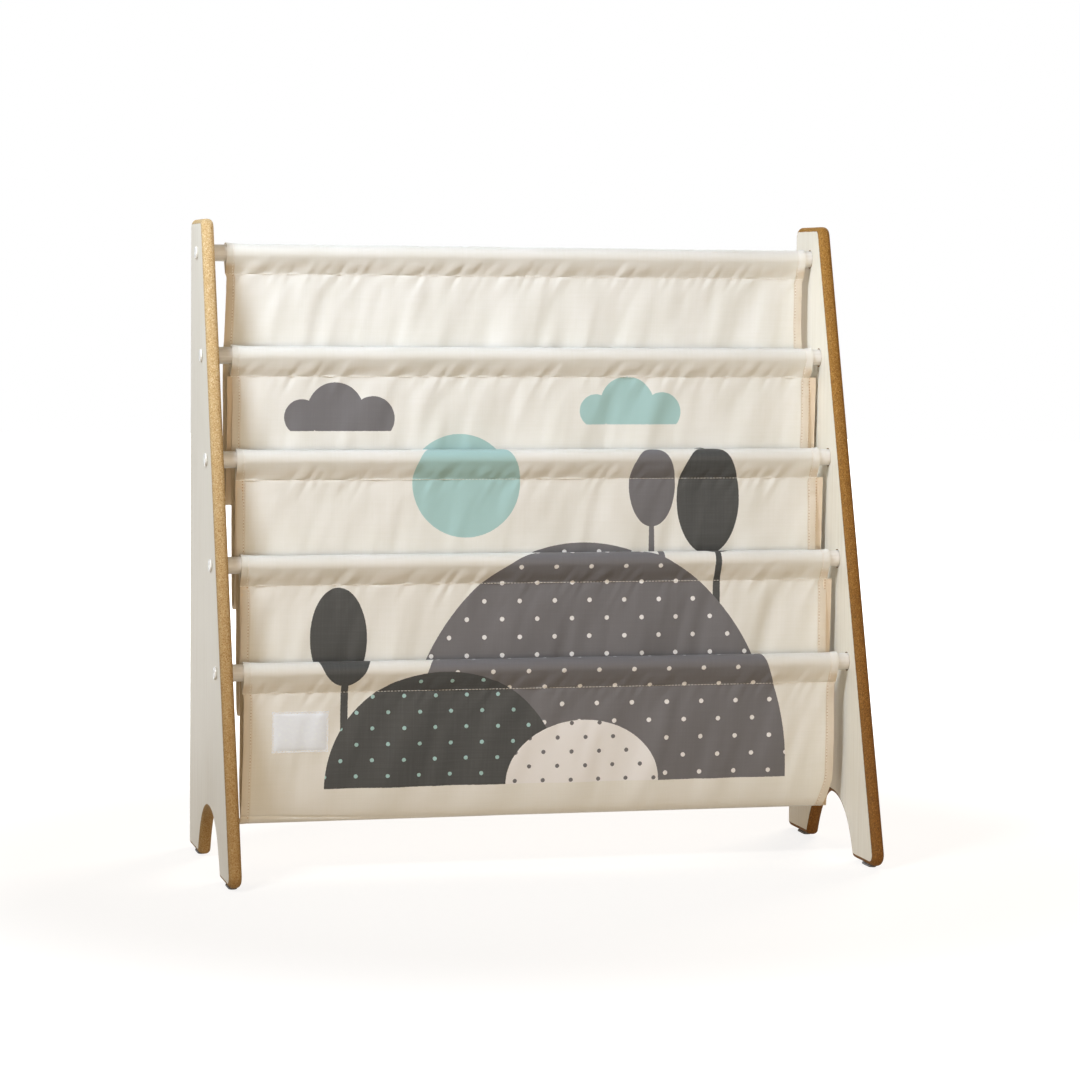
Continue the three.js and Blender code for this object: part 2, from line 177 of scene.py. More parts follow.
class Surface:
    """A material under construction, step by step."""

    def __init__(self, name: str) -> None:
        """Makes an empty material.

        Args:
            name: the material's name.
        """
        self.material = bpy.data.materials.new(name)
        self.material.use_nodes = True
        self.tree = self.material.node_tree
        self.tree.nodes.clear()

    def add(self, step: Step, *values: Any, **settings: Any) -> bpy.types.NodeSocket:
        """Adds a step's node with add_node.

        Args:
            step: the step.
            values: what goes into its inputs, in order. The last ones may be left out.
            settings: more of the node's own properties.

        Returns:
            The output that the step passes on.
        """
        inputs = dict(zip(step.inputs, values))
        node = add_node(self.tree, step.kind, inputs, **step.settings, **settings)
        return node.outputs[step.output]

    def place(self, scale: Sequence[float] = (1, 1, 1), uv: str = "") -> bpy.types.NodeSocket:
        """Places in metres, stretched by a scale: a UV map's, or without its name the object's."""
        source = self.add(Step.UV_PLACE, uv_map=uv) if uv else self.add(Step.OBJECT_PLACE)
        return self.add(Step.MAPPING, source, scale)

    def finish(self, **inputs: Any) -> bpy.types.Material:
        """Ends the material in a Principled shader.

        Args:
            inputs: the shader's inputs, with _ for each space in their names.

        Returns:
            The material.
        """
        named = {name.replace("_", " "): value for name, value in inputs.items()}
        shader = add_node(self.tree, "ShaderNodeBsdfPrincipled", named)
        add_node(self.tree, "ShaderNodeOutputMaterial", {"Surface": shader.outputs["BSDF"]})
        return self.material


def grains(size: float) -> float:
    """The texture scale at which one grain is a size in millimetres."""
    return 1 / (size * MM)


def bands(spacing: float) -> float:
    """The wave texture's scale at which its bands lie a spacing in millimetres apart."""
    return math.pi / 10 / (spacing * MM)


def seen_as_backdrop(tree: bpy.types.NodeTree) -> bpy.types.NodeSocket:
    """Tells the rays that see the surround from those that light the object.

    Args:
        tree: a shader tree.

    Returns:
        An output that is 1 for rays from the camera, from gloss and through glass.
    """
    rays = add_node(tree, "ShaderNodeLightPath").outputs
    seen = rays["Is Camera Ray"]
    for name in ("Is Glossy Ray", "Is Transmission Ray"):
        larger = add_node(tree, "ShaderNodeMath", {0: seen, 1: rays[name]}, operation="MAXIMUM")
        seen = larger.outputs[0]
    return seen


# Shape helpers.


@dataclass(frozen=True)
class Hump:
    """A smooth hump, or with a height below zero a groove, nearly gone at twice its width."""

    height: float
    width: float

    def at(self, away: Points) -> Points:
        """Its height at distances from its crest."""
        return self.height * np.exp(-((away / self.width) ** 2))


def ramp(value: Points, start: float, length: float) -> Points:
    """Rises from 0 at a start to 1 a length further on, or further back if it is negative."""
    return np.clip((value - start) / length, 0, 1)


def make_mesh(
    name: str, points: Points, faces: Faces, materials: Sequence[bpy.types.Material] = ()
) -> bpy.types.Object:
    """Makes a mesh object at the origin from points in millimetres.

    Args:
        name: the object's name.
        points: one row of x, y and z for each vertex.
        faces: vertex numbers, counter-clockwise as seen from outside.
        materials: its material slots.

    Returns:
        The object, linked to the scene.
    """
    mesh = bpy.data.meshes.new(name)
    mesh.from_pydata((np.asarray(points, float) * MM).tolist(), [], faces)
    for material in materials:
        mesh.materials.append(material)
    mesh.validate()
    mesh.shade_smooth()
    piece = bpy.data.objects.new(name, mesh)
    bpy.context.scene.collection.objects.link(piece)
    return piece


def make_points(name: str, lines: Sequence[Line]) -> bpy.types.Object:
    """Makes a mesh of bare lines for a Geometry Nodes tree to follow.

    Args:
        name: the object's name.
        lines: the lines, in millimetres.

    Returns:
        The object, with the ways that they face in a "facing" attribute.
    """
    edges: list[tuple[int, int]] = []
    start = 0
    for points, _ in lines:
        edges += [(start + step, start + step + 1) for step in range(len(points) - 1)]
        start += len(points)
    mesh = bpy.data.meshes.new(name)
    mesh.from_pydata((np.concatenate([line for line, _ in lines]) * MM).tolist(), edges, [])
    facing = mesh.attributes.new("facing", "FLOAT_VECTOR", "POINT")
    facing.data.foreach_set("vector", np.concatenate([way for _, way in lines]).ravel())
    piece = bpy.data.objects.new(name, mesh)
    bpy.context.scene.collection.objects.link(piece)
    return piece


def sharpen(piece: bpy.types.Object, degrees: float) -> bpy.types.Object:
    """Keeps the edges of a smooth mesh crisp where its faces turn by more than an angle."""
    piece.data.set_sharp_from_angle(angle=math.radians(degrees))
    return piece


def circle(steps: int) -> list[tuple[float, float]]:
    """The cosine and sine of even turns round a circle."""
    turns = (2 * math.pi * step / steps for step in range(steps))
    return [(math.cos(turn), math.sin(turn)) for turn in turns]


def quarter(steps: int) -> list[tuple[float, float]]:
    """The cosine and sine of even turns through a right angle, with both its ends."""
    turns = (math.pi / 2 * step / steps for step in range(steps + 1))
    return [(math.cos(turn), math.sin(turn)) for turn in turns]


def bridge(rings: Sequence[Sequence[int]], flip: bool = False) -> Faces:
    """Joins closed rings of points, each to the next.

    Args:
        rings: the numbers of each ring's points. A ring of one number repeated is a point.
        flip: whether the faces turn the other way.

    Returns:
        The faces.
    """
    faces: Faces = []
    for here, there in zip(rings, rings[1:]):
        for step in range(len(here)):
            after = (step + 1) % len(here)
            corners = [here[step], here[after], there[after], there[step]]
            face = tuple(dict.fromkeys(corners))
            faces.append(face[::-1] if flip else face)
    return faces


def closed_sheet(front: Points, back: Points) -> tuple[Points, Faces, int]:
    """Closes two grids of points into one sheet.

    Args:
        front: the front's points, in rows from the top down, each from left to right.
        back: the back's points in the same order.

    Returns:
        The points, the faces of the front, the back and the rim, and how many the front has.
    """
    rows, columns, _ = front.shape
    count = rows * columns
    corner = (np.arange(rows - 1)[:, None] * columns + np.arange(columns - 1)).ravel()
    ahead = np.stack([corner, corner + columns, corner + columns + 1, corner + 1], axis=1)
    behind = ahead[:, ::-1] + count
    rim = [*range(columns - 1), *(row * columns + columns - 1 for row in range(rows - 1))]
    rim += [*((rows - 1) * columns + column for column in range(columns - 1, 0, -1))]
    rim += [*(row * columns for row in range(rows - 1, 0, -1))]
    faces = [tuple(face) for face in (*ahead.tolist(), *behind.tolist())]
    faces += [(a, b, b + count, a + count) for a, b in zip(rim, rim[1:] + rim[:1])]
    points = np.concatenate([front.reshape(-1, 3), back.reshape(-1, 3)])
    return points, faces, len(ahead)


def turned(profile: Sequence[tuple[float, float]], steps: int) -> tuple[Points, Faces]:
    """Turns a profile about the X axis.

    Args:
        profile: places along the axis and radii, from left to right over the outside. A radius
            of zero closes an end in one point.
        steps: how many flats go round.

    Returns:
        The points and faces.
    """
    points: list[tuple[float, float, float]] = []
    rings: list[list[int]] = []
    for along, radius in profile:
        if radius == 0:
            rings.append([len(points)] * steps)
            points.append((along, 0.0, 0.0))
            continue
        rings.append(list(range(len(points), len(points) + steps)))
        points += [(along, radius * cosine, radius * sine) for cosine, sine in circle(steps)]
    return np.array(points), bridge(rings)


def settle(piece: bpy.types.Object, tree: bpy.types.NodeTree, sizes: dict[str, Any]) -> None:
    """Runs a Geometry Nodes tree on a piece and keeps its result as a plain mesh.

    Args:
        piece: the piece, whose own mesh is the tree's input.
        tree: the tree.
        sizes: a value for each of the tree's named inputs.
    """
    modifier = piece.modifiers.new(tree.name, "NODES")
    modifier.node_group = tree
    for item in tree.interface.items_tree:
        if item.in_out == "INPUT" and item.name in sizes:
            modifier[item.identifier] = sizes[item.name]
    graph = bpy.context.evaluated_depsgraph_get()
    graph.update()
    mesh = bpy.data.meshes.new_from_object(piece.evaluated_get(graph), depsgraph=graph)
    piece.modifiers.clear()
    piece.data = mesh


def new_tree(
    name: str, inputs: dict[str, str]
) -> tuple[bpy.types.NodeTree, bpy.types.NodeOutputs]:
    """Makes an empty Geometry Nodes tree.

    Args:
        name: its name.
        inputs: the socket type of each named input after the geometry.

    Returns:
        The tree, and what is given to it, by name.
    """
    tree = bpy.data.node_groups.new(name, "GeometryNodeTree")
    tree.interface.new_socket("Geometry", in_out="INPUT", socket_type="NodeSocketGeometry")
    for label, kind in inputs.items():
        tree.interface.new_socket(label, in_out="INPUT", socket_type=kind)
    tree.interface.new_socket("Geometry", in_out="OUTPUT", socket_type="NodeSocketGeometry")
    return tree, add_node(tree, "NodeGroupInput").outputs


def end_tree(
    tree: bpy.types.NodeTree, points: Any, instance: Any, rotation: Any, material: Any
) -> None:
    """Ends a tree in a shape on each point, made real and given its material.

    Args:
        tree: the tree.
        points: the output that holds the points.
        instance: the output that holds the shape.
        rotation: the output that holds its turn.
        material: the output that holds the material.
    """
    add = partial(add_node, tree)
    inputs = {"Points": points, "Instance": instance, "Rotation": rotation}
    placed = add("GeometryNodeInstanceOnPoints", inputs)
    real = add("GeometryNodeRealizeInstances", {"Geometry": placed.outputs[0]})
    inputs = {"Geometry": real.outputs[0], "Material": material}
    dressed = add("GeometryNodeSetMaterial", inputs)
    add("NodeGroupOutput", {0: dressed.outputs[0]})


class SoftNoise:
    """Seeded smooth noise from -1 to 1 over a plane, one grain to a unit."""

    def __init__(self, seed: int, grains_across: int = 512) -> None:
        """Draws the grains, so many each way before the pattern repeats."""
        self.size = grains_across
        self.values = np.random.default_rng(seed).uniform(-1, 1, (self.size, self.size))

    def __call__(self, across: Points, along: Points) -> Points:
        """Reads the noise.

        Args:
            across: places across the plane, in grains.
            along: places along it.

        Returns:
            The noise there.
        """
        across, along = np.broadcast_arrays(across, along)
        column, row = np.floor(across).astype(int), np.floor(along).astype(int)
        right, down = (t**3 * (t * (6 * t - 15) + 10) for t in (across - column, along - row))
        total = np.zeros(across.shape)
        for over, weight_over in ((0, 1 - right), (1, right)):
            for under, weight_under in ((0, 1 - down), (1, down)):
                grain = self.values[(column + over) % self.size, (row + under) % self.size]
                total += grain * weight_over * weight_under
        return total


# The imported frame.


@dataclass(frozen=True)
class Rod:
    """One rod's place: its axis, radius and ends."""

    y: float
    z: float
    radius: float
    left: float
    right: float


@dataclass(frozen=True)
class Sleeve:
    """One sleeve's place: its ends and its seam."""

    left: float
    right: float
    seam_z: float


@dataclass
class Frame:
    """The places that the dressed pieces share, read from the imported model."""

    cloth_thickness: float = 1.2
    rods: list[Rod] = field(default_factory=list)
    sleeves: list[Sleeve] = field(default_factory=list)
    folds: list[float] = field(default_factory=list)

    def __post_init__(self) -> None:
        """Reads the rods, the sleeves and the lowest line of each pocket."""
        for number in range(1, 6):
            low, high = self.box(f"rod_{number}")
            middle = (low + high) / 2
            self.rods.append(Rod(middle[1], middle[2], (high[2] - low[2]) / 2, low[0], high[0]))
            low, high = self.box(f"sling_sleeve_{number}")
            self.sleeves.append(Sleeve(low[0], high[0], low[2]))
        for number in range(1, 5):
            low, _ = self.box(f"pocket_front_{number}")
            self.folds.append(low[2] + self.cloth_thickness / 2)

    @staticmethod
    def box(node: str) -> tuple[Points, Points]:
        """The lowest and highest corner of a node, in millimetres."""
        low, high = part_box(node)
        return np.array(low) / MM, np.array(high) / MM


def dress(piece: bpy.types.Object, slot: str, *nodes: str) -> bpy.types.Object:
    """Lets a piece ride on the bookshelf in place of its nodes.

    Args:
        piece: the piece.
        slot: the record's material slot; not used.
        nodes: the nodes that it stands for.

    Returns:
        The piece.
    """
    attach(piece, BODY)
    if nodes:
        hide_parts(*nodes)
    LOG.info("%s: %d faces", piece.name, len(piece.data.polygons))
    return piece


# Finishes.


@dataclass(frozen=True)
class PaintedFibreboard:
    """MDF with rolled acrylic paint on its faces and a routed, bare edge.

    The paint is a warm white, satin, with the fine upright streaks of the roller and a faint
    mottle. The bare edge shows the pressed fibres as fine dark and light specks, and is matt. Its
    colour is darkened towards the foot as painted shade, and the left board gets a lighter copy of
    it and the right board a darker one, as painted light and shade.
    """

    name: str
    board_x: float
    board_thickness: float
    raw: str
    raw_dark: str
    raw_light: str
    paint: str = "#f7f1e1"
    paint_shade: str = "#eae2cf"
    foot_tint: str = "#c8b89e"  # painted shade: the bare edge is darkened towards the foot, where the light falls off
    height: float = 600.0
    streak: float = 1.6
    streak_stretch: float = 0.012
    mottle: float = 55.0
    speck: float = 1.2  # coarser than real MDF fibres, so that they show in the render
    paint_wrap: float = 0.05  # how far the paint reaches round the edge
    paint_fade: float = 0.06
    ragged: float = 0.12
    ragged_grain: float = 3.0

    def material(self) -> bpy.types.Material:
        """Builds the material.

        Returns:
            The material.
        """
        look = Surface(self.name)
        add, place = look.add, look.place()
        tall = look.place((1, 1, self.streak_stretch))
        streaks = add(Step.NOISE, tall, grains(self.streak), 3.0)
        mottle = add(Step.NOISE, place, grains(self.mottle), 3.0)
        tone = add(Step.MULTIPLY_ADD, mottle, 0.25, add(Step.MULTIPLY, streaks, 0.75))
        paint = add(Step.MIX, add(Step.RANGE, tone, 0.38, 0.8), self.paint, self.paint_shade)
        fine = add(Step.NOISE, place, grains(self.speck), 2.0)
        coarse = add(Step.NOISE, place, grains(5 * self.speck), 3.0)
        raw = add(Step.MIX, add(Step.RANGE, fine, 0.5, 0.7, 0, 0.85), self.raw, self.raw_light)
        raw = add(Step.MIX, add(Step.RANGE, fine, 0.48, 0.3, 0, 0.9), raw, self.raw_dark)
        raw = add(Step.MIX, add(Step.RANGE, coarse, 0.4, 0.7, 0, 0.25), raw, self.raw_dark)
        x, _, z = add_node(look.tree, "ShaderNodeSeparateXYZ", {0: place}).outputs
        # painted shade: the bare edge darkens towards the foot
        raw = add(Step.TINT, add(Step.RANGE, z, 0, self.height * MM, 1, 0), raw, self.foot_tint)
        off_middle = add(Step.ABSOLUTE, add(Step.SUBTRACT, x, self.board_x * MM))
        ragged = add(Step.NOISE, place, grains(self.ragged_grain), 3.0)
        reach = add(Step.ADD, off_middle, add(Step.MULTIPLY, ragged, self.ragged * MM))
        border = (self.board_thickness / 2 - self.paint_wrap) * MM
        bare = add(Step.RANGE, reach, border, border + self.paint_fade * MM, 1, 0)
        painted_relief = add(Step.BUMP, streaks, 0.035 * MM)
        return look.finish(
            Base_Color=add(Step.MIX, bare, paint, raw),
            Roughness=add(Step.RANGE, bare, 0, 1, 0.5, 0.85),
            Normal=add(Step.BUMP, add(Step.MULTIPLY, fine, bare), 0.35 * MM, painted_relief),
            IOR=1.48,
        )


@dataclass(frozen=True)
class PaintedDowel:
    """Turned beech dowel under two coats of warm white acrylic.

    The grain stands as faint lines along the rod, and the paint has a soft satin gloss.
    """

    name: str = "painted_dowel"
    paint: str = "#e3e1dd"
    shade: str = "#cfccc6"
    grain: float = 1.4
    grain_stretch: float = 0.02
    mottle: float = 18.0

    def material(self) -> bpy.types.Material:
        """Builds the material.

        Returns:
            The material.
        """
        look = Surface(self.name)
        add = look.add
        grain = add(Step.NOISE, look.place((self.grain_stretch, 1, 1)), grains(self.grain), 3.0)
        mottle = add(Step.NOISE, look.place(), grains(self.mottle))
        tone = add(Step.MULTIPLY_ADD, mottle, 0.5, add(Step.MULTIPLY, grain, 0.6))
        colour = add(Step.MIX, add(Step.RANGE, tone, 0.4, 0.85), self.paint, self.shade)
        normal = add(Step.BUMP, grain, 0.05 * MM)
        return look.finish(Base_Color=colour, Roughness=0.42, Normal=normal, IOR=1.48)


@dataclass(frozen=True)
class EnamelledSteel:
    """Cold-headed steel connector bolts under white baked enamel, smooth and softly glossy."""

    name: str = "white_enamel"
    enamel: str = "#f1efe8"
    worn: str = "#cfcabd"
    mottle: float = 2.5
    orange_peel: float = 0.8

    def material(self) -> bpy.types.Material:
        """Builds the material.

        Returns:
            The material.
        """
        look = Surface(self.name)
        add, place = look.add, look.place()
        mottle = add(Step.NOISE, place, grains(self.mottle), 3.0)
        worn = add(Step.RANGE, mottle, 0.5, 0.9, 0, 0.6)
        return look.finish(
            Base_Color=add(Step.MIX, worn, self.enamel, self.worn),
            Roughness=0.3,
            Normal=add(Step.BUMP, add(Step.NOISE, place, grains(self.orange_peel)), 0.02 * MM),
            Coat_Weight=0.3,
            Coat_Roughness=0.2,
        )


@dataclass(frozen=True)
class ZincPlate:
    """Zinc-plated steel inserts, bright and slightly clouded by the plating's spangle."""

    name: str = "zinc_plate"
    zinc: str = "#c3c6c9"
    cloud: str = "#9fa4a9"
    spangle: float = 1.5

    def material(self) -> bpy.types.Material:
        """Builds the material.

        Returns:
            The material.
        """
        look = Surface(self.name)
        spangle = look.add(Step.NOISE, look.place(), grains(self.spangle), 3.0)
        colour = look.add(Step.MIX, spangle, self.zinc, self.cloud)
        rough = look.add(Step.RANGE, spangle, 0.3, 0.7, 0.28, 0.45)
        return look.finish(Base_Color=colour, Metallic=1.0, Roughness=rough)


@dataclass(frozen=True)
class PressedFelt:
    """Needle-pressed grey wool felt: no gloss, and a soft mottle of lighter and darker fibres."""

    name: str = "pressed_felt"
    grey: str = "#8b8b8d"
    dark: str = "#5a5a5d"
    fibre: float = 0.9

    def material(self) -> bpy.types.Material:
        """Builds the material.

        Returns:
            The material.
        """
        look = Surface(self.name)
        fibres = look.add(Step.NOISE, look.place((1, 1, 2)), grains(self.fibre), 4.0)
        colour = look.add(Step.MIX, look.add(Step.RANGE, fibres, 0.4, 0.65), self.dark, self.grey)
        normal = look.add(Step.BUMP, fibres, 0.4 * MM)
        return look.finish(Base_Color=colour, Roughness=0.95, Normal=normal, Sheen_Weight=0.3)


@dataclass(frozen=True)
class SewingThread:
    """Spun polyester thread, off-white, its twist too fine to show."""

    name: str = "sewing_thread"
    thread: str = "#f8f5ee"
    shade: str = "#e6e0d3"
    fuzz: float = 0.9

    def material(self) -> bpy.types.Material:
        """Builds the material.

        Returns:
            The material.
        """
        look = Surface(self.name)
        fuzz = look.add(Step.NOISE, look.place(), grains(self.fuzz), 2.0)
        colour = look.add(Step.MIX, look.add(Step.RANGE, fuzz, 0.4, 0.7), self.thread, self.shade)
        return look.finish(Base_Color=colour, Roughness=0.7, Sheen_Weight=0.2)


@dataclass(frozen=True)
class Disc:
    """A round or oval printed patch, in the print's own millimetres."""

    x: float
    z: float
    radius: float
    height_share: float = 1.0


@dataclass(frozen=True)
class Motif:
    """One printed colour: discs laid together, cut off below a base line, with a dotted filling."""

    colour: str
    discs: tuple[Disc, ...]
    base_z: float = -1000.0
    dot_colour: str = ""
    dot_spacing: float = 24.0
    dot_radius: float = 2.2


GREY, CHARCOAL, MINT, CHALK = "#6b6a6d", "#3c3d3c", "#a4c8c7", "#efeff0"


@dataclass(frozen=True)
class PrintedCanvas:
    """Plain-woven polyester canvas, cream, with a pigment print of hills, a sun and clouds.

    The cloth is matt with a slight sheen, shows its thread as a fine grid and its thicker yarns as
    faint streaks both ways, and takes a warm tan of painted shade where a hem lies double, most on
    the left, just above each seam and in the needle holes, and of painted light at edges that hang
    behind the next tier. The print is flat colour that follows the cloth, with edges as ragged as
    the weave makes them.
    """

    name: str = "printed_canvas"
    cloth: str = "#edede9"
    cloth_shade: str = "#e6e6df"
    # hem and hole are the warm tans of painted shade and painted light, laid by the panels'
    # attributes
    hem: str = "#dcc3a2"
    hole: str = "#cba67c"
    weave: float = 0.8  # coarser than the real 0.5 mm, so that it shows in the render
    slub: float = 1.6
    slub_stretch: float = 0.03
    mottle: float = 60.0
    hem_stitch: float = 6.6
    hole_pitch: float = 2.8
    hole_radius: float = 0.35
    ragged: float = 0.6
    ragged_grain: float = 2.0
    printed: bool = True
    motifs: tuple[Motif, ...] = (
        Motif(MINT, (Disc(-62, 372, 52),)),
        Motif(GREY, (Disc(-214, 440, 17), Disc(-182, 446, 27), Disc(-146, 439, 21)), 427.0),
        Motif(MINT, (Disc(72, 446, 16), Disc(103, 452, 27), Disc(138, 445, 19)), 433.0),
        Motif(CHARCOAL, (Disc(176, 356, 31, 1.75), Disc(176, 250, 3.5, 24))),
        Motif(GREY, (Disc(120, 368, 23, 1.7), Disc(120, 280, 3, 28))),
        Motif(CHARCOAL, (Disc(-190, 222, 27, 1.75), Disc(-190, 150, 3.5, 20))),
        Motif(GREY, (Disc(52, 78, 186, 1.27),), 78.0, CHALK),
        Motif(CHARCOAL, (Disc(-96, 78, 112, 0.98),), 78.0, MINT, 21.0, 1.9),
        Motif(CHALK, (Disc(38, 78, 74, 0.8),), 78.0, GREY, 19.0, 2.0),
    )

    def material(self) -> bpy.types.Material:
        """Builds the material.

        Returns:
            The material.
        """
        look = Surface(self.name)
        add, flat = look.add, look.place(uv="cloth")
        weft, warp = (
            add(Step.NOISE, look.place(scale, "cloth"), grains(self.slub), 3.0)
            for scale in ((self.slub_stretch, 1, 1), (1, self.slub_stretch, 1))
        )
        yarn = add(Step.MULTIPLY, add(Step.ADD, weft, warp), 0.5)
        mottle = add(Step.NOISE, flat, grains(self.mottle), 3.0)
        tone = add(Step.MULTIPLY_ADD, mottle, 0.5, add(Step.MULTIPLY, yarn, 0.5))
        colour = add(Step.MIX, add(Step.RANGE, tone, 0.3, 0.7), self.cloth, self.cloth_shade)
        if self.printed:
            colour = self.print_over(look, colour, yarn)
        # painted shade and painted light: warm tan over hems, above seams and at edges behind the
        # next tier
        hem = add(Step.ATTRIBUTE, attribute_name="hem")
        colour = add(Step.TINT, hem, colour, self.hem)
        # painted shade in the needle holes
        colour = add(Step.TINT, self.needle_holes(look), colour, self.hole)
        threads = [add(Step.WAVE, flat, bands(self.weave), bands_direction=way) for way in "XY"]
        weave = add(Step.BUMP, add(Step.LARGER, *threads), 0.015 * MM)
        return look.finish(
            Base_Color=colour,
            Roughness=0.58,
            Normal=add(Step.BUMP, yarn, 0.035 * MM, weave),
            Sheen_Weight=0.12,
            Sheen_Roughness=0.5,
            IOR=1.45,
        )

    def needle_holes(self, look: Surface) -> bpy.types.NodeSocket:
        """Finds the painted shade in the needle holes along each hem's stitches.

        Args:
            look: the material.

        Returns:
            How much painted hole shade there is at each place.
        """
        add = look.add
        edge = add(Step.ATTRIBUTE, attribute_name="edge")
        off_line = add(Step.ABSOLUTE, add(Step.SUBTRACT, edge, self.hem_stitch))
        along = add(Step.HEIGHT, look.place(uv="cloth"))
        beat = add(Step.FRACTION, add(Step.DIVIDE, along, self.hole_pitch * MM))
        off_hole = add(Step.ABSOLUTE, add(Step.SUBTRACT, beat, 0.5))
        near_line = add(Step.RANGE, off_line, self.hole_radius, 0.75, 1, 0)
        return add(Step.MULTIPLY, near_line, add(Step.RANGE, off_hole, 0.12, 0.3, 0.7, 0))

    def print_over(self, look: Surface, cloth: Any, yarn: Any) -> bpy.types.NodeSocket:
        """Lays the print over the cloth's colour.

        Args:
            look: the material.
            cloth: the cloth's colour.
            yarn: the yarn pattern, which shows a little through the ink.

        Returns:
            The colour with the print.
        """
        add, place = look.add, look.place(uv="print")
        shown = add(Step.ATTRIBUTE, attribute_name="shown")
        drift = add(Step.NOISE_VECTOR, place, grains(self.ragged_grain))
        shift = add(Step.SHIFT, drift, (self.ragged * MM, self.ragged * MM, 0), place)
        height = add(Step.HEIGHT, shift)
        colour = cloth
        for motif in self.motifs:
            patches = []
            for disc in motif.discs:
                here = add(Step.STRETCH, shift, (1, 1 / disc.height_share, 1))
                away = add(Step.DISTANCE, here, (disc.x * MM, disc.z / disc.height_share * MM, 0))
                patches.append(add(Step.BELOW, away, disc.radius * MM))
            inside = reduce(partial(add, Step.LARGER), patches)
            above = add(Step.ABOVE, height, motif.base_z * MM)
            mask = add(Step.MULTIPLY, add(Step.MULTIPLY, inside, above), shown)
            through = add(Step.RANGE, yarn, 0.4, 0.7, 0, 0.015)
            ink = add(Step.MIX, through, motif.colour, CHALK)
            if motif.dot_colour:
                cells = add(Step.MAPPING, shift, (1, 1, 1), (0, 0, math.radians(45)))
                away = add(Step.CELLS, cells, grains(motif.dot_spacing), 0)
                dots = add(Step.BELOW, away, motif.dot_radius / motif.dot_spacing)
                ink = add(Step.MIX, dots, ink, motif.dot_colour)
            colour = add(Step.MIX, mask, colour, ink)
        return colour


@dataclass(frozen=True)
class WovenTape:
    """White taffeta label tape: a close rib across, a cool white, with a soft gloss."""

    name: str = "woven_tape"
    white: str = "#f5fbff"
    shade: str = "#e9edf3"
    brightener: str = "#b4dcff"  # painted light: a faint blue glow that lifts the tape's white, standing in for its optical whitener
    rib: float = 1.1  # coarser than the real 0.3 mm, so that it shows in the render
    rib_waver: float = 0.4
    mottle: float = 3.0

    def material(self) -> bpy.types.Material:
        """Builds the material.

        Returns:
            The material.
        """
        look = Surface(self.name)
        add, place = look.add, look.place()
        ribs = [
            add(Step.WAVE, place, bands(self.rib), self.rib_waver, bands_direction=way)
            for way in "XZ"
        ]
        grid = add(Step.MULTIPLY, *ribs)
        mottle = add(Step.NOISE, place, grains(self.mottle), 3.0)
        tone = add(Step.MULTIPLY_ADD, grid, 0.35, add(Step.MULTIPLY, mottle, 0.6))
        return look.finish(
            Base_Color=add(Step.MIX, add(Step.RANGE, tone, 0.3, 0.75), self.shade, self.white),
            Roughness=0.6,
            Normal=add(Step.BUMP, grid, 0.12 * MM),
            # painted light: a faint blue glow
            Emission_Color=self.brightener,
            Emission_Strength=0.08,
        )


@dataclass(frozen=True)
class StudioFloor:
    """A pale painted studio floor that the camera sees as white, but for the object's shadow."""

    name: str = "studio_floor"
    paint: str = "#b2a89a"
    paint_shade: str = "#a3998b"
    mottle: float = 250.0
    shadow_share: float = 0.55
    shadow_start: float = 450.0
    shadow_end: float = 1300.0
    glow: float = 1.86

    def material(self) -> bpy.types.Material:
        """Builds the material.

        Returns:
            The material.
        """
        look = Surface(self.name)
        add, place = look.add, look.place()
        mottle = add(Step.NOISE, place, grains(self.mottle))
        shade = add(Step.RANGE, mottle, 0.3, 0.7, 0, 0.1)
        paint = add(Step.MIX, shade, self.paint, self.paint_shade)
        near, far = self.shadow_start * MM, self.shadow_end * MM
        white = add(Step.RANGE, add(Step.LENGTH, place), near, far, 1 - self.shadow_share, 1)
        share = add(Step.MULTIPLY, white, seen_as_backdrop(look.tree))
        matt = add_node(look.tree, "ShaderNodeBsdfDiffuse", {"Color": paint})
        inputs = {"Color": "#ffffff", "Strength": self.glow}
        light = add_node(look.tree, "ShaderNodeEmission", inputs)
        inputs = {0: share, 1: matt.outputs[0], 2: light.outputs[0]}
        mixed = add_node(look.tree, "ShaderNodeMixShader", inputs)
        add_node(look.tree, "ShaderNodeOutputMaterial", {"Surface": mixed.outputs[0]})
        return look.material


# Side panels.


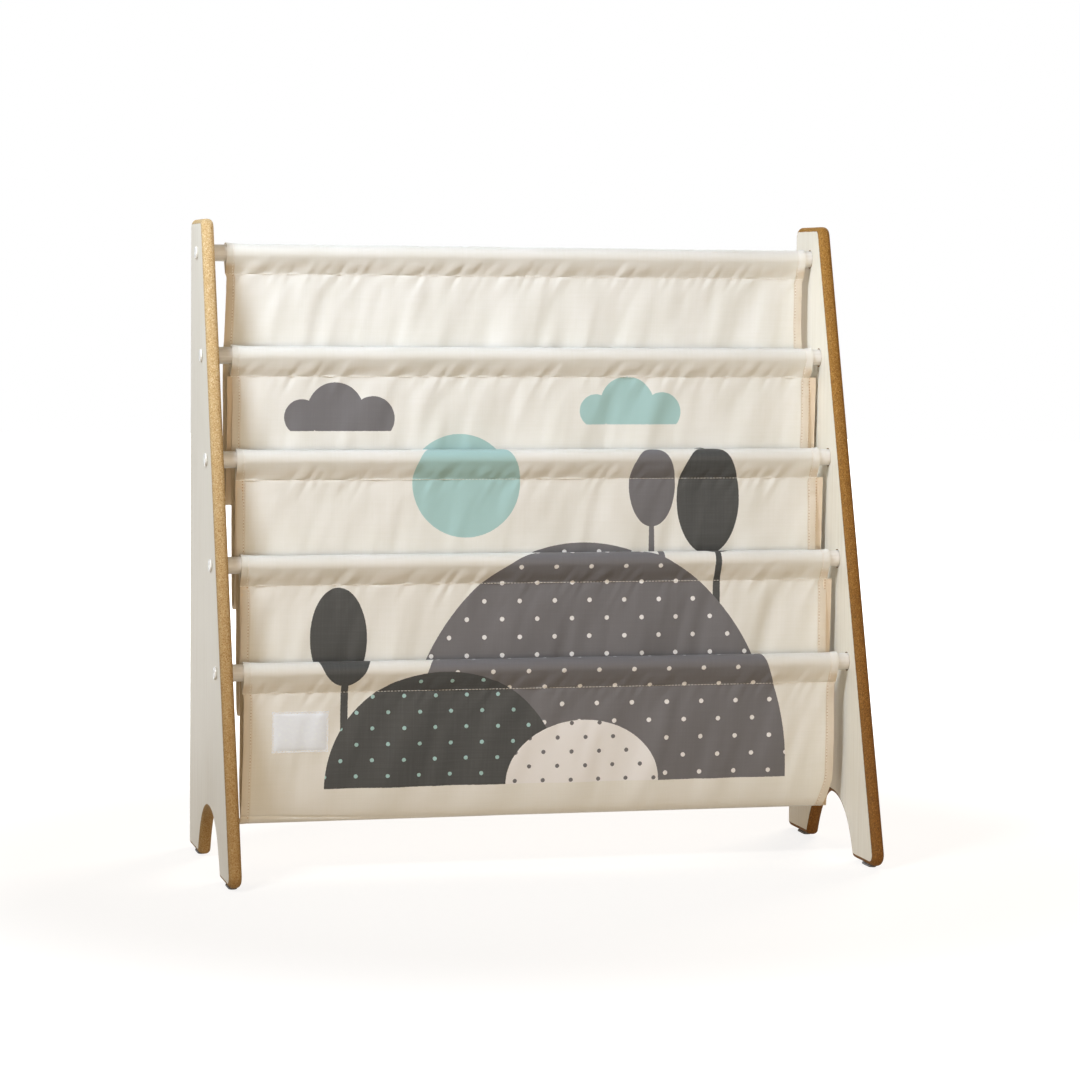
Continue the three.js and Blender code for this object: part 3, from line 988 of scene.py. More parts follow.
@dataclass
class SidePanel:
    """One side panel: a tapering board with an arch between its two feet and rounded edges."""

    side: Side
    frame: Frame
    top_depth: float = 71.0
    foot_depth: float = 260.0
    arris_radius: float = 5.0
    top_corner_radius: float = 10.0
    toe_radius: float = 11.0
    heel_radius: float = 6.0
    arch_foot_radius: float = 5.2
    arch_width: float = 133.0
    arch_height: float = 53.0
    arch_inset: float = 129.0
    arch_handle_shares: tuple[tuple[float, float], ...] = ((0.84, 0.49), (0.6, 1.0))
    socket_depth: float = 4.0
    socket_radius: float = 8.6
    socket_rim: float = 0.5
    bolt_hole_radius: float = 3.5
    corner_steps: int = 14
    arch_steps: int = 36
    arch_trim: int = 4  # how many of the arch's first points the rounded foot takes up
    arris_steps: int = 6
    hole_steps: int = 40

    def __post_init__(self) -> None:
        """Reads the board's box."""
        self.node = f"{self.side.label}_side_panel"
        low, high = self.frame.box(self.node)
        self.middle_x = (low[0] + high[0]) / 2
        self.thickness = high[0] - low[0]
        self.foot_z, self.top_z, self.rear_y = low[2], high[2], high[1]

    def corner(self, before: Points, at: Points, after: Points, radius: float) -> list[Points]:
        """Rounds a corner between two straight edges.

        Args:
            before: a point on the edge that comes in.
            at: the sharp corner.
            after: a point on the edge that goes out.
            radius: the corner's radius.

        Returns:
            The points of the arc.
        """
        to_before = (before - at) / np.linalg.norm(before - at)
        to_after = (after - at) / np.linalg.norm(after - at)
        half = math.acos(float(np.clip(to_before @ to_after, -1, 1))) / 2
        bisector = (to_before + to_after) / np.linalg.norm(to_before + to_after)
        centre = at + bisector * radius / math.sin(half)
        reach = radius / math.tan(half)
        first = at + to_before * reach - centre
        last = at + to_after * reach - centre
        sweep = math.atan2(first[0] * last[1] - first[1] * last[0], first @ last)
        arc = []
        for turn in np.linspace(0, sweep, self.corner_steps + 1):
            cosine, sine = math.cos(turn), math.sin(turn)
            arc.append(np.array([[cosine, -sine], [sine, cosine]]) @ first + centre)
        return arc

    def arch_side(self, way: int) -> list[Points]:
        """Draws one side of the arch.

        Args:
            way: 1 for the rear side, -1 for the front side.

        Returns:
            Its points, from the foot to the crown.
        """
        half, (low, high) = self.arch_width / 2, self.arch_handle_shares
        handles = np.array([(1, 0), low, high, (0, 1)]) * (way * half, self.arch_height)
        foot = np.array([self.rear_y - self.arch_inset, self.foot_z])
        side = []
        for t in np.linspace(0, 1, self.arch_steps + 1):
            weights = np.array([(1 - t) ** 3, 3 * t * (1 - t) ** 2, 3 * t * t * (1 - t), t**3])
            side.append(foot + weights @ handles)
        return side

    def outline(self) -> Points:
        """Draws the board's outline in depth and height.

        Returns:
            Its points, counter-clockwise as seen from the right.
        """
        rear, front = self.arch_side(1), self.arch_side(-1)
        heel = np.array([self.rear_y, self.foot_z])
        rear_top = np.array([self.rear_y, self.top_z])
        front_top = np.array([self.rear_y - self.top_depth, self.top_z])
        toe = np.array([self.rear_y - self.foot_depth, self.foot_z])
        trim = self.arch_trim
        points = [
            *self.corner(rear[0], heel, rear_top, self.heel_radius),
            *self.corner(heel, rear_top, front_top, self.top_corner_radius),
            *self.corner(rear_top, front_top, toe, self.top_corner_radius),
            *self.corner(front_top, toe, front[0], self.toe_radius),
            *self.corner(toe, front[0], front[trim - 1], self.arch_foot_radius),
            *front[trim:],
            *rear[trim:-1][::-1],
            *self.corner(rear[trim - 1], rear[0], heel, self.arch_foot_radius),
        ]
        return np.array(points)

    def ring(self, points: list[Points], x: float, rod: Rod, radius: float) -> list[int]:
        """Adds a ring of points round a rod's axis.

        Args:
            points: the points so far.
            x: the ring's distance from the board's middle.
            rod: the rod.
            radius: the ring's radius.

        Returns:
            The numbers of its points.
        """
        start = len(points)
        for cosine, sine in circle(self.hole_steps):
            points.append(np.array([x, rod.y + radius * cosine, rod.z + radius * sine]))
        return list(range(start, len(points)))

    def cap(self, points: list[Points], loops: list[list[int]], way: int) -> Faces:
        """Fills a flat face of the board.

        Args:
            points: the board's points.
            loops: the numbers of the face's outline and of its holes.
            way: 1 for the face on the right, -1 for the one on the left.

        Returns:
            The triangles.
        """
        flat = [number for loop in loops for number in loop]
        outlines = [[Vector((*points[number][1:], 0)) for number in loop] for loop in loops]
        faces: Faces = []
        for triangle in tessellate_polygon(outlines):
            corners = tuple(flat[number] for number in triangle)
            a, b, c = (points[number][1:] for number in corners)
            turn = (b[0] - a[0]) * (c[1] - a[1]) - (b[1] - a[1]) * (c[0] - a[0])
            faces.append(corners if turn * way > 0 else corners[::-1])
        return faces

    def build(self, finish: PaintedFibreboard) -> None:
        """Builds the board.

        Args:
            finish: its finish.
        """
        outline = self.outline()
        along = np.roll(outline, -1, axis=0) - np.roll(outline, 1, axis=0)
        along /= np.linalg.norm(along, axis=1)[:, None]
        inward = np.stack([-along[:, 1], along[:, 0]], axis=1)
        half, arris = self.thickness / 2, self.arris_radius
        turns = quarter(self.arris_steps)
        section = [(half - arris * (1 - sine), arris * (1 - cosine)) for cosine, sine in turns]
        points: list[Points] = []
        rings = []
        for x, inset in [(-x, inset) for x, inset in reversed(section)] + section:
            rings.append(list(range(len(points), len(points) + len(outline))))
            points += [np.array([x, y, z]) for y, z in outline + inward * inset]
        faces = bridge(rings)
        inner = -self.side.value
        floor = inner * (half - self.socket_depth)
        loops = {-1: [rings[0]], 1: [rings[-1]]}
        for rod in self.frame.rods:
            hole = [
                self.ring(points, x, rod, radius)
                for x, radius in (
                    (-inner * half, self.bolt_hole_radius),
                    (floor, self.bolt_hole_radius),
                    (floor, self.socket_radius),
                    (inner * (half - self.socket_rim), self.socket_radius),
                    (inner * half, self.socket_radius + self.socket_rim),
                )
            ]
            faces += bridge(hole, flip=inner < 0)
            loops[-inner].append(hole[0])
            loops[inner].append(hole[-1])
        for way in (-1, 1):
            faces += self.cap(points, loops[way], way)
        placed = np.array(points) + [self.middle_x, 0, 0]
        piece = make_mesh(f"{self.side.label}_board", placed, faces, [finish.material()])
        dress(sharpen(piece, 32), "painted_board", self.node)


# Rods, fasteners and pads.


@dataclass
class Dowels:
    """The five painted rods, each bored for its inserts."""

    frame: Frame
    chamfer: float = 0.6
    bore_radius: float = 5.0
    bore_depth: float = 17.0
    sides: int = 72

    def build(self, finish: PaintedDowel) -> None:
        """Builds each rod as a piece.

        Args:
            finish: their finish.
        """
        material = finish.material()
        for number, rod in enumerate(self.frame.rods, 1):
            half = (rod.right - rod.left) / 2
            end = [
                (half - self.bore_depth, 0),
                (half - self.bore_depth, self.bore_radius),
                (half, self.bore_radius),
                (half, rod.radius - self.chamfer),
                (half - self.chamfer, rod.radius),
            ]
            profile = [(-along, radius) for along, radius in end] + end[::-1]
            points, faces = turned(profile, self.sides)
            points += [(rod.left + rod.right) / 2, rod.y, rod.z]
            piece = sharpen(make_mesh(f"dowel_{number}", points, faces, [material]), 35)
            dress(piece, "painted_rod", f"rod_{number}")


@dataclass
class ConnectorBolts:
    """The white connector bolts of one side, each with a hexagon socket in its head."""

    side: Side
    frame: Frame
    head_diameter: float = 12.0
    head_thickness: float = 1.8
    head_edge_radius: float = 1.1
    head_foot: float = 0.2
    head_steps: int = 6
    seat_gap: float = 0.3
    shank_diameter: float = 6.0
    shank_chamfer: float = 0.8
    reach: float = 20.0
    key: float = 4.0
    key_depth: float = 2.2
    key_bevel: float = 0.3
    key_rim: float = 0.35
    sides: int = 48
    seed: int = 11

    def bolt(self) -> tuple[Points, Faces]:
        """Shapes one bolt along +X, its seat at the origin.

        Returns:
            Its points and faces.
        """
        radius, edge, top = self.head_diameter / 2, self.head_edge_radius, self.head_thickness
        shank, chamfer = self.shank_diameter / 2, self.shank_chamfer
        tip = -self.reach - self.seat_gap
        profile = [(tip, 0), (tip, shank - chamfer), (tip + chamfer, shank), (0, shank)]
        profile += [(0, radius - self.head_foot), (self.head_foot, radius)]
        for cosine, sine in quarter(self.head_steps):
            profile.append((top - edge + edge * sine, radius - edge + edge * cosine))
        profile.append((top, self.key / 2 / math.cos(math.pi / 6) + self.key_rim))
        points, faces = turned(profile, self.sides)
        rings = [list(range(len(points) - self.sides, len(points)))]
        for x in (top - self.key_bevel, top - self.key_depth):
            rings.append(list(range(len(points), len(points) + self.sides)))
            points = np.concatenate([points, self.hexagon(x)])
        return points, [*faces, *bridge(rings), tuple(rings[-1])]

    def hexagon(self, x: float) -> Points:
        """Draws the key's hexagon with as many points as the head has sides.

        Args:
            x: its place along the bolt.

        Returns:
            Its points.
        """
        turns = 2 * math.pi * np.arange(self.sides) / self.sides
        out = self.key / 2 / np.cos(turns % (math.pi / 3) - math.pi / 6)
        return np.stack([np.full(self.sides, x), out * np.cos(turns), out * np.sin(turns)], axis=1)

    def tree(self) -> bpy.types.NodeTree:
        """Makes the tree that sets a bolt, turned at random about its axis, on each seat.

        Returns:
            The tree.
        """
        sockets = {
            "Bolt": "NodeSocketObject",
            "Seed": "NodeSocketInt",
            "Finish": "NodeSocketMaterial",
        }
        tree, given = new_tree(f"{self.side.label}_bolt_setting", sockets)
        add = partial(add_node, tree)
        bolt = add("GeometryNodeObjectInfo", {"Object": given["Bolt"]})
        facing = add("GeometryNodeInputNamedAttribute", {"Name": "facing"}, data_type="FLOAT_VECTOR")
        align = add("FunctionNodeAlignRotationToVector", {"Vector": facing.outputs[0]}, axis="X")
        inputs: dict[str | int, Any] = {2: 0.0, 3: math.pi / 3, "Seed": given["Seed"]}
        turn = add("FunctionNodeRandomValue", inputs, data_type="FLOAT")
        inputs = {"Axis": (1, 0, 0), "Angle": turn.outputs[1]}
        spin = add("FunctionNodeAxisAngleToRotation", inputs)
        inputs = {"Rotation": align.outputs[0], "Rotate By": spin.outputs[0]}
        both = add("FunctionNodeRotateRotation", inputs, rotation_space="LOCAL").outputs[0]
        end_tree(tree, given["Geometry"], bolt.outputs["Geometry"], both, given["Finish"])
        return tree

    def build(self, finish: bpy.types.Material) -> None:
        """Builds the side's bolts as one piece.

        Args:
            finish: the enamel.
        """
        label, way = self.side.label, self.side.value
        points, faces = self.bolt()
        pattern = sharpen(make_mesh(f"{label}_bolt_pattern", points, faces), 40)
        low, high = self.frame.box(f"{label}_side_panel")
        outer = (high if way > 0 else low)[0] + way * self.seat_gap
        facing = np.array([[float(way), 0, 0]])
        lines = [(np.array([[outer, rod.y, rod.z]]), facing) for rod in self.frame.rods]
        piece = make_points(f"{label}_connector_bolts", lines)
        settle(piece, self.tree(), {"Bolt": pattern, "Seed": self.seed, "Finish": finish})
        bpy.data.objects.remove(pattern)
        dress(piece, "bolt_enamel", *(f"{label}_bolt_{number}" for number in range(1, 6)))


@dataclass
class GlidePads:
    """The four stadium-shaped felt pads that the feet stand on."""

    frame: Frame
    edge_radius: float = 0.6
    round_steps: int = 18
    edge_steps: int = 4

    def build(self, finish: PressedFelt) -> None:
        """Builds the pads as one piece.

        Args:
            finish: their finish.
        """
        points: list[tuple[float, float, float]] = []
        faces: Faces = []
        turns, edge = circle(2 * self.round_steps), self.edge_radius
        rear, front = turns[: self.round_steps + 1], turns[self.round_steps :] + turns[:1]
        nodes = [f"{side.label}_{end}_glide" for side in Side for end in ("front", "rear")]
        for node in nodes:
            low, high = self.frame.box(node)
            (middle_x, middle_y, _), size = (low + high) / 2, high - low
            radius, straight = size[0] / 2 - edge, (size[1] - size[0]) / 2
            outline = [(x, y, middle_y + straight) for x, y in rear]
            outline += [(x, y, middle_y - straight) for x, y in front]
            arris = [
                (radius + edge * sine, edge * (1 - cosine))
                for cosine, sine in quarter(self.edge_steps)
            ]
            levels = [(reach, low[2] + rise) for reach, rise in arris]
            levels += [(reach, high[2] - rise) for reach, rise in reversed(arris)]
            rings = []
            for reach, z in levels:
                rings.append(list(range(len(points), len(points) + len(outline))))
                points += [(middle_x + reach * x, end_y + reach * y, z) for x, y, end_y in outline]
            faces += [*bridge(rings), tuple(rings[0][::-1]), tuple(rings[-1])]
        piece = make_mesh("felt_glides", np.array(points), faces, [finish.material()])
        dress(sharpen(piece, 50), "glide_felt", *nodes)


# The sling.


@dataclass(frozen=True)
class HangingCurve:
    """The line that cloth takes between two seams: a catenary, measured from its lowest line."""

    lowest: float
    middle: float
    scale: float
    rear_length: float
    front_length: float

    @classmethod
    def between(cls, rear: Points, front: Points, lowest: float) -> "HangingCurve":
        """Hangs the curve.

        Args:
            rear: the rear seam's depth and height.
            front: the front seam's depth and height.
            lowest: the height that the curve sinks to.

        Returns:
            The curve.
        """
        span = rear[0] - front[0]
        low, high = span / 1000, span
        rises = (rear[1] - lowest, front[1] - lowest)
        for _ in range(50):
            scale = (low + high) / 2
            if scale * sum(math.acosh(1 + rise / scale) for rise in rises) < span:
                low = scale
            else:
                high = scale
        lengths = [scale * math.sinh(math.acosh(1 + rise / scale)) for rise in rises]
        middle = rear[0] - scale * math.acosh(1 + rises[0] / scale)
        return cls(lowest, middle, scale, *lengths)

    def at(self, length: Points) -> Points:
        """Finds places on the curve.

        Args:
            length: lengths from the lowest line, positive on the rear layer.

        Returns:
            The depths and heights there.
        """
        turn = np.arcsinh(length / self.scale)
        depth = self.middle + self.scale * turn
        return np.stack([depth, self.lowest + self.scale * (np.cosh(turn) - 1)], axis=-1)


# The main folds of each panel: place, width, depth and lean as shares. They lie near those in the
# part's source.
Fold = tuple[float, float, float, float]
MAIN_FOLDS: tuple[tuple[Fold, ...], ...] = (
    (
        (0.17, 0.035, 0.8, -0.1), (0.36, 0.04, 1, -0.09), (0.5, 0.03, 1, -0.05),
        (0.62, 0.03, 0.7, 0), (0.77, 0.04, 0.8, 0.02), (0.93, 0.036, 1.4, 0),
    ),
    (
        (0.12, 0.03, 0.9, -0.03), (0.24, 0.03, 0.8, -0.04), (0.34, 0.03, 0.9, -0.02),
        (0.56, 0.04, 0.7, 0), (0.7, 0.03, 0.9, 0.01), (0.86, 0.04, 0.6, 0.02),
    ),
    (
        (0.1, 0.03, 0.8, -0.03), (0.3, 0.04, 0.7, -0.04), (0.48, 0.03, 0.6, 0),
        (0.65, 0.03, 1, 0), (0.88, 0.04, 0.8, 0.03),
    ),
    (
        (0.12, 0.04, 0.8, -0.05), (0.27, 0.03, 0.8, -0.03), (0.46, 0.035, 1, -0.02),
        (0.66, 0.03, 0.9, 0), (0.83, 0.03, 1, 0.03),
    ),
    (
        (0.1, 0.04, 0.6, -0.02), (0.29, 0.04, 0.9, -0.06), (0.42, 0.04, 0.7, -0.02),
        (0.55, 0.035, 0.8, 0), (0.73, 0.03, 1, -0.07), (0.9, 0.04, 0.6, 0.02),
    ),
)


@dataclass(frozen=True)
class Ripple:
    """A soft unevenness of the cloth: its depth, width and length, and how far it leans."""

    depth: float
    width: float
    length: float
    lean: float

    def over(self, noise: SoftNoise, across: Points, below: Points) -> Points:
        """How far it lifts the cloth at distances from the left edge and below the seam."""
        leaning = (across + self.lean * below) / self.width
        return self.depth * noise(leaning, below / self.length)


@dataclass
class ClothPanel:
    """One length of the sling: its sleeve round a rod, and the layer that hangs from its seam.

    The first three panels turn up at the pocket's fold and reach the next seam from behind. The
    fourth ends at the fold, in the seam that joins it to the fifth, the lowest pocket's front.
    A place on a panel is a share of its width and a length below its seam, which is negative on
    the sleeve. The printed side faces out of the sleeve and, below the seam, forward.
    """

    number: int
    frame: Frame
    thickness: float = 0.6
    hem_width: float = 8.0
    hem_turn: float = 0.5
    hem_thickness: float = 1.3
    hem_stitch: float = 6.6
    hem_groove: Hump = Hump(-0.3, 0.8)
    unholed: float = 90.0  # added to the edge's distance on the sleeve, which has no needle holes
    seam_spacing: float = 0.55
    sleeve_gap: float = 0.15
    sleeve_steps: int = 90
    seam_inset: float = 1.4
    seam_softness: float = 2.2
    seam_groove: Hump = Hump(-0.25, 1.7)
    seam_hold: float = 22.0  # how far below its seam the cloth is still held flat
    waver: float = 0.45  # how far the edges stray from straight
    next_tier: float = 80.0  # the length below the seam from which the next tier hides the panel
    fine_length: float = 103.0  # and down to which the mesh's rows lie close
    left_spread: float = 2.8  # how far the top panel's left edge runs out below its seam
    loop_spread: float = 5.0  # how far a pocket's right edge runs out behind the next tier
    fold_depth: float = 2.6
    fold_rise_share: float = 0.35
    drifts: tuple[Ripple, ...] = (Ripple(1.15, 21, 95, 0.35), Ripple(0.575, 11, 60, 0.2))
    puckers: tuple[Ripple, ...] = (Ripple(1.4875, 5.2, 30, 0.55), Ripple(0.8925, 11.96, 45, 0.55))
    pucker_reach: float = 9.0
    pucker_top: float = 21.0  # how far above the seam the puckers reach
    slack: Ripple = Ripple(0.75, 9, 28, 0.5)
    slack_lift: float = 0.3
    slack_height: float = 9.0  # above the seam, under the rod
    slack_reach: Hump = Hump(1, 6)
    hem_ripple: Hump = Hump(0.55, 9)
    hem_ripple_length: float = 4.2
    left_flare: Hump = Hump(1.3, 9)
    right_flare: Hump = Hump(0.8, 6)
    corner_draw: float = 8.0
    corner_height: float = 30.0
    corner_curve: float = 1.4
    felled: float = 6.0
    back_end: float = 1.0  # how far above the fold the fourth panel ends
    band_width: float = 8.5  # the lowest panel's turned edge, which shows most at its left end
    band_least: float = 0.8
    band_share: float = 0.45
    band_step: float = 0.7
    band_groove: Hump = Hump(-1, 0.9)
    printed_share: float = 0.62  # of the sleeve, over the front of the rod
    column_step: float = 2.0
    line_step: float = 0.5
    print_step: float = 7.6  # so that the print runs on from sleeve to sleeve as seen from ahead

    def __post_init__(self) -> None:
        """Hangs the panel and works out its section."""
        index = self.number - 1
        rods, sleeves = self.frame.rods, self.frame.sleeves
        self.rod, self.sleeve = rods[index], sleeves[index]
        self.is_front = self.number == 5
        pocket = min(index, 3)
        front_shift = -self.seam_spacing if pocket == 3 else self.seam_spacing
        self.curve = HangingCurve.between(
            np.array([rods[pocket].y - self.seam_spacing, sleeves[pocket].seam_z]),
            np.array([rods[pocket + 1].y + front_shift, sleeves[pocket + 1].seam_z]),
            self.frame.folds[pocket],
        )
        self.full = self.curve.front_length if self.is_front else self.curve.rear_length
        self.noises = [SoftNoise(100 * self.number + n) for n in range(6)]
        loop = self.loop()
        steps = np.linalg.norm(np.diff(loop, axis=0), axis=1)
        self.sleeve_length = float(steps.sum())
        lengths = np.concatenate([[0], np.cumsum(steps)]) - self.sleeve_length
        below = np.arange(0, self.end + self.line_step, self.line_step)
        hung = self.curve.at(below - self.full if self.is_front else self.full - below)
        places = np.concatenate([lengths[:-1], below])
        line = np.concatenate([loop[:-1], hung])
        self.lengths = np.arange(places[0], places[-1], self.line_step)
        section = np.stack([np.interp(self.lengths, places, line[:, n]) for n in (0, 1)], axis=1)
        self.section = self.soften(section)
        ways = np.gradient(self.section, self.line_step, axis=0)
        ways /= np.linalg.norm(ways, axis=1)[:, None]
        self.outward = np.stack([ways[:, 1], -ways[:, 0]], axis=1)

    @property
    def end(self) -> float:
        """The length below the seam at which the panel ends."""
        past_fold = {4: -self.back_end, 5: self.felled}
        return self.full + past_fold.get(self.number, self.curve.front_length)

    def loop(self) -> Points:
        """Draws the sleeve's section.

        Returns:
            Its depths and heights, from its seam behind the rod over the rod to the front.
        """
        radius = self.rod.radius + self.sleeve_gap + self.thickness / 2
        drop = self.rod.z - self.sleeve.seam_z
        reach = math.hypot(self.seam_spacing, drop)
        start = math.atan2(self.seam_spacing, drop) + math.acos(radius / reach)
        turns = np.linspace(start, 2 * math.pi - start, self.sleeve_steps)
        arc = [self.rod.y + radius * np.sin(turns), self.rod.z - radius * np.cos(turns)]
        ends = [[self.rod.y + way * self.seam_spacing, self.sleeve.seam_z] for way in (1, -1)]
        return np.concatenate([[ends[0]], np.stack(arc, axis=1), [ends[1]]])

    def soften(self, section: Points) -> Points:
        """Eases the bends of a section that real cloth is too stiff to make.

        Args:
            section: depths and heights along the panel.

        Returns:
            The eased section.
        """
        width = self.seam_softness / self.line_step
        reach = int(4 * width)
        kernel = np.exp(-0.5 * (np.arange(-reach, reach + 1) / width) ** 2)
        kernel /= kernel.sum()
        padded = np.pad(section, ((reach, reach), (0, 0)), mode="reflect", reflect_type="odd")
        eased = np.stack([np.convolve(padded[:, n], kernel, "valid") for n in (0, 1)], axis=1)
        near_seam = np.exp(-((self.lengths / (4 * self.seam_softness)) ** 4))[:, None]
        return section * (1 - near_seam) + eased * near_seam

    def ends(self, below: Points) -> tuple[Points, Points]:
        """Finds the panel's edges.

        Args:
            below: lengths below the seam.

        Returns:
            The x of its left and right edge there.
        """
        own, other = self.sleeve, self.frame.sleeves[min(self.number, 4)]
        down = ramp(below, 0, self.full)
        height = np.interp(below, self.lengths, self.section[:, 1]) - self.curve.lowest
        draw = np.where(below > 0, ramp(height, self.corner_height, -self.corner_height), 0)
        draw = self.corner_draw * draw**self.corner_curve
        inset = self.seam_inset * ramp(below, 0, 3) * (1 - down)
        left = own.left + (other.left - own.left) / 2 * down + inset
        left = left + self.waver * self.noises[0](below / 26, np.array(3.5))
        right = own.right + (other.right - own.right) / 2 * down - inset
        right = right + self.waver * self.noises[0](below / 22, np.array(9.5))
        if self.number == 1:
            left = left - self.left_spread * ramp(below, 0, self.next_tier)
        if not self.is_front:
            right = right + self.loop_spread * ramp(below, self.next_tier, 6)
        return left, right - draw

    def relief(self, share: Points, across: Points, width: Points, below: Points) -> Points:
        """Finds how far folds, puckers, hems and seams push the cloth out on its printed side.

        Args:
            share: the share of the width.
            across: the distance from the left edge.
            width: the panel's width there.
            below: the length below the seam.

        Returns:
            The distances.
        """
        down, away = ramp(below, 0, self.full), np.abs(below)
        hanging = below > 0
        rise = np.minimum(down / self.fold_rise_share, 1) * (1 - down**3)
        total = np.zeros(np.broadcast(share, below).shape)
        for place, spread, depth, lean in MAIN_FOLDS[self.number - 1]:
            fold = Hump(self.fold_depth * depth, spread)
            total += fold.at(share - place - lean * down) * rise
        loose = ramp(below, 0, self.seam_hold) * (1 - down**4)
        for ripple, noise in zip(self.drifts, self.noises[1:3]):
            total += ripple.over(noise, across, below) * loose
        held = away / (away + 2) * np.exp(-away / self.pucker_reach)
        held *= np.where(hanging, 1, ramp(below, -self.pucker_top, 6))
        for ripple, noise in zip(self.puckers, self.noises[3:5]):
            total += ripple.over(noise, across, below) * held
        slack = self.slack.over(self.noises[5], across, below) + self.slack_lift
        total += slack * self.slack_reach.at(below + self.slack_height) * (below < 0)
        total += self.seam_groove.at(below)
        edge = np.minimum(across, width - across)
        total += self.hem_groove.at(edge - self.hem_stitch)
        tight = self.noises[4](below / self.hem_ripple_length, across / 14 + 40)
        total += self.hem_ripple.at(edge) * tight * np.where(hanging, 1, 0.4)
        flare = self.left_flare.at(across) + self.right_flare.at(width - across)
        over_rod = ~hanging & (below > -0.8 * self.sleeve_length)
        total += flare * over_rod * ramp(-below, 0, 15)
        return total + self.turned_band(share, below) if self.is_front else total

    def turned_band(self, share: Points, below: Points) -> Points:
        """Finds the relief of the lowest panel's turned edge: a step with a groove above it.

        Args:
            share: the share of the width.
            below: the length below the seam.

        Returns:
            How far it lifts the cloth.
        """
        band = self.band_width * ramp(share, self.band_share, -self.band_share) + self.band_least
        past = below - (self.full - band)
        strength = np.clip(band / self.band_width, 0, 1)
        return strength * (self.band_step * ramp(past, 0, 1.5) + self.band_groove.at(past))

    def surface(self, share: Points, below: Points) -> tuple[Points, Points]:
        """Finds places on the panel's middle surface.

        Args:
            share: shares of the width.
            below: lengths below the seam.

        Returns:
            The points, and the way out on the printed side, without the folds.
        """
        share, below = np.broadcast_arrays(np.asarray(share, float), np.asarray(below, float))
        left, right = self.ends(below)
        across = share * (right - left)
        lift = self.relief(share, across, right - left, below)
        depth, height, out_y, out_z = (
            np.interp(below, self.lengths, values)
            for values in (*self.section.T, *self.outward.T)
        )
        points = np.stack([left + across, depth + lift * out_y, height + lift * out_z], axis=-1)
        return points, np.stack([np.zeros(below.shape), out_y, out_z], axis=-1)

    def rows(self) -> Points:
        """Spaces the mesh's rows, closest where they show.

        Returns:
            Their lengths below the seam.
        """
        seen = self.full - 12 if self.is_front else self.fine_length
        stops = [(-2.0, 1.9), (2.0, 0.5), (30.0, 1.7), (seen, 2.7)]
        if self.is_front:
            stops += [(self.end, 0.9)]
        elif self.number == 4:
            stops += [(self.end, 6.0)]
        else:
            stops += [(self.full - 12, 6.5), (self.full + 12, 1.6), (self.end, 7.0)]
        parts, start = [], -self.sleeve_length
        for stop, step in stops:
            count = max(1, round((stop - start) / step))
            parts.append(np.linspace(start, stop, count, endpoint=False))
            start = stop
        return np.concatenate([*parts, [self.end]])

    def columns(self) -> Points:
        """Spaces the mesh's columns, closest at the hems.

        Returns:
            Their shares of the width.
        """
        width = self.sleeve.right - self.sleeve.left
        hem = [0, 0.5, 1.4, 2.8, 4.2, self.hem_stitch - 0.7, self.hem_stitch]
        hem += [self.hem_stitch + 0.6, self.hem_width, self.hem_width + self.hem_turn]
        start = hem[-1] + 1.0
        count = round((width - 2 * start) / self.column_step)
        inner = np.linspace(start, width - start, count)
        return np.concatenate([hem, inner, width - np.array(hem[::-1])]) / width

    def warmth(self, edge: Points, is_left: Points, below: Points) -> tuple[Points, Points]:
        """Finds the warm tan of painted shade at hems and seam, and of painted light behind the next
        tier.

        Args:
            edge: the distance from the nearer edge.
            is_left: whether that is the left one.
            below: the length below the seam.

        Returns:
            The share of the warm tan of painted shade and light on the printed side and on the
            reverse.
        """
        hem, near = ramp(edge, self.hem_width + self.hem_turn, -self.hem_turn), np.exp(-edge / 7)
        # painted shade: the left hems, in the left board's shade, take more tan than the right ones,
        # the top panel's most
        double = 0.45 if self.number == 1 else 0.2
        tint = np.where(is_left, double * hem + 0.4 * near, 0.4 * hem + 0.15 * near)
        # painted shade: a hump of tan just above the seam, on the sleeve's underside below the rod
        tint = tint * np.clip((below + 14) / 6, 0.15, 1) + Hump(0.12, 5.5).at(below + 6.5)
        if self.is_front:
            return tint, tint
        # painted light: edges that hang behind the next tier take tan, standing in for light coming
        # through the cloth
        painted_light_through = Hump(0.95, 12).at(edge) * ramp(below, self.next_tier, 8)
        return np.maximum(tint, painted_light_through), tint

    def build(self, printed: bpy.types.Material, reverse: bpy.types.Material) -> None:
        """Builds the panel as one closed piece.

        Args:
            printed: the finish of its printed side.
            reverse: the finish of its plain side and its edges.
        """
        share, below = np.meshgrid(self.columns(), self.rows())
        points, _ = self.surface(share, below)
        normal = np.cross(np.gradient(points, axis=0), np.gradient(points, axis=1))
        normal /= np.linalg.norm(normal, axis=2)[..., None]
        left, right = self.ends(below)
        across = share * (right - left)
        edge = np.minimum(across, right - left - across)
        hem = ramp(edge, self.hem_width + self.hem_turn, -self.hem_turn)
        behind = self.thickness / 2 + (self.hem_thickness - self.thickness) * hem
        front, back = points + normal * self.thickness / 2, points - normal * behind[..., None]
        both, faces, front_count = closed_sheet(front, back)
        piece = make_mesh(f"sling_cloth_{self.number}", both, faces, [printed, reverse])
        mesh = piece.data
        slots = np.where(np.arange(len(faces)) < front_count, 0, 1)
        mesh.polygons.foreach_set("material_index", slots)
        drawn = self.sleeve.seam_z - below + self.print_step * (5 - self.number)
        for name, place in (("cloth", (across, below)), ("print", (points[..., 0], drawn))):
            self.paint(mesh, name, np.tile(np.stack(place, -1).reshape(-1, 2), (2, 1)))
        told_edge = edge + self.unholed * (below < -1)
        # the "hem" attribute holds the share of painted shade and light that the finish tints tan
        for name, values in (
            ("hem", self.warmth(edge, across < edge + 1, below)),
            ("edge", (told_edge, told_edge)),
            ("shown", (self.shown(below), self.shown(below))),
        ):
            self.tell(mesh, name, np.concatenate([side.ravel() for side in values]))
        dress(sharpen(piece, 60), "sling_canvas", *self.nodes())

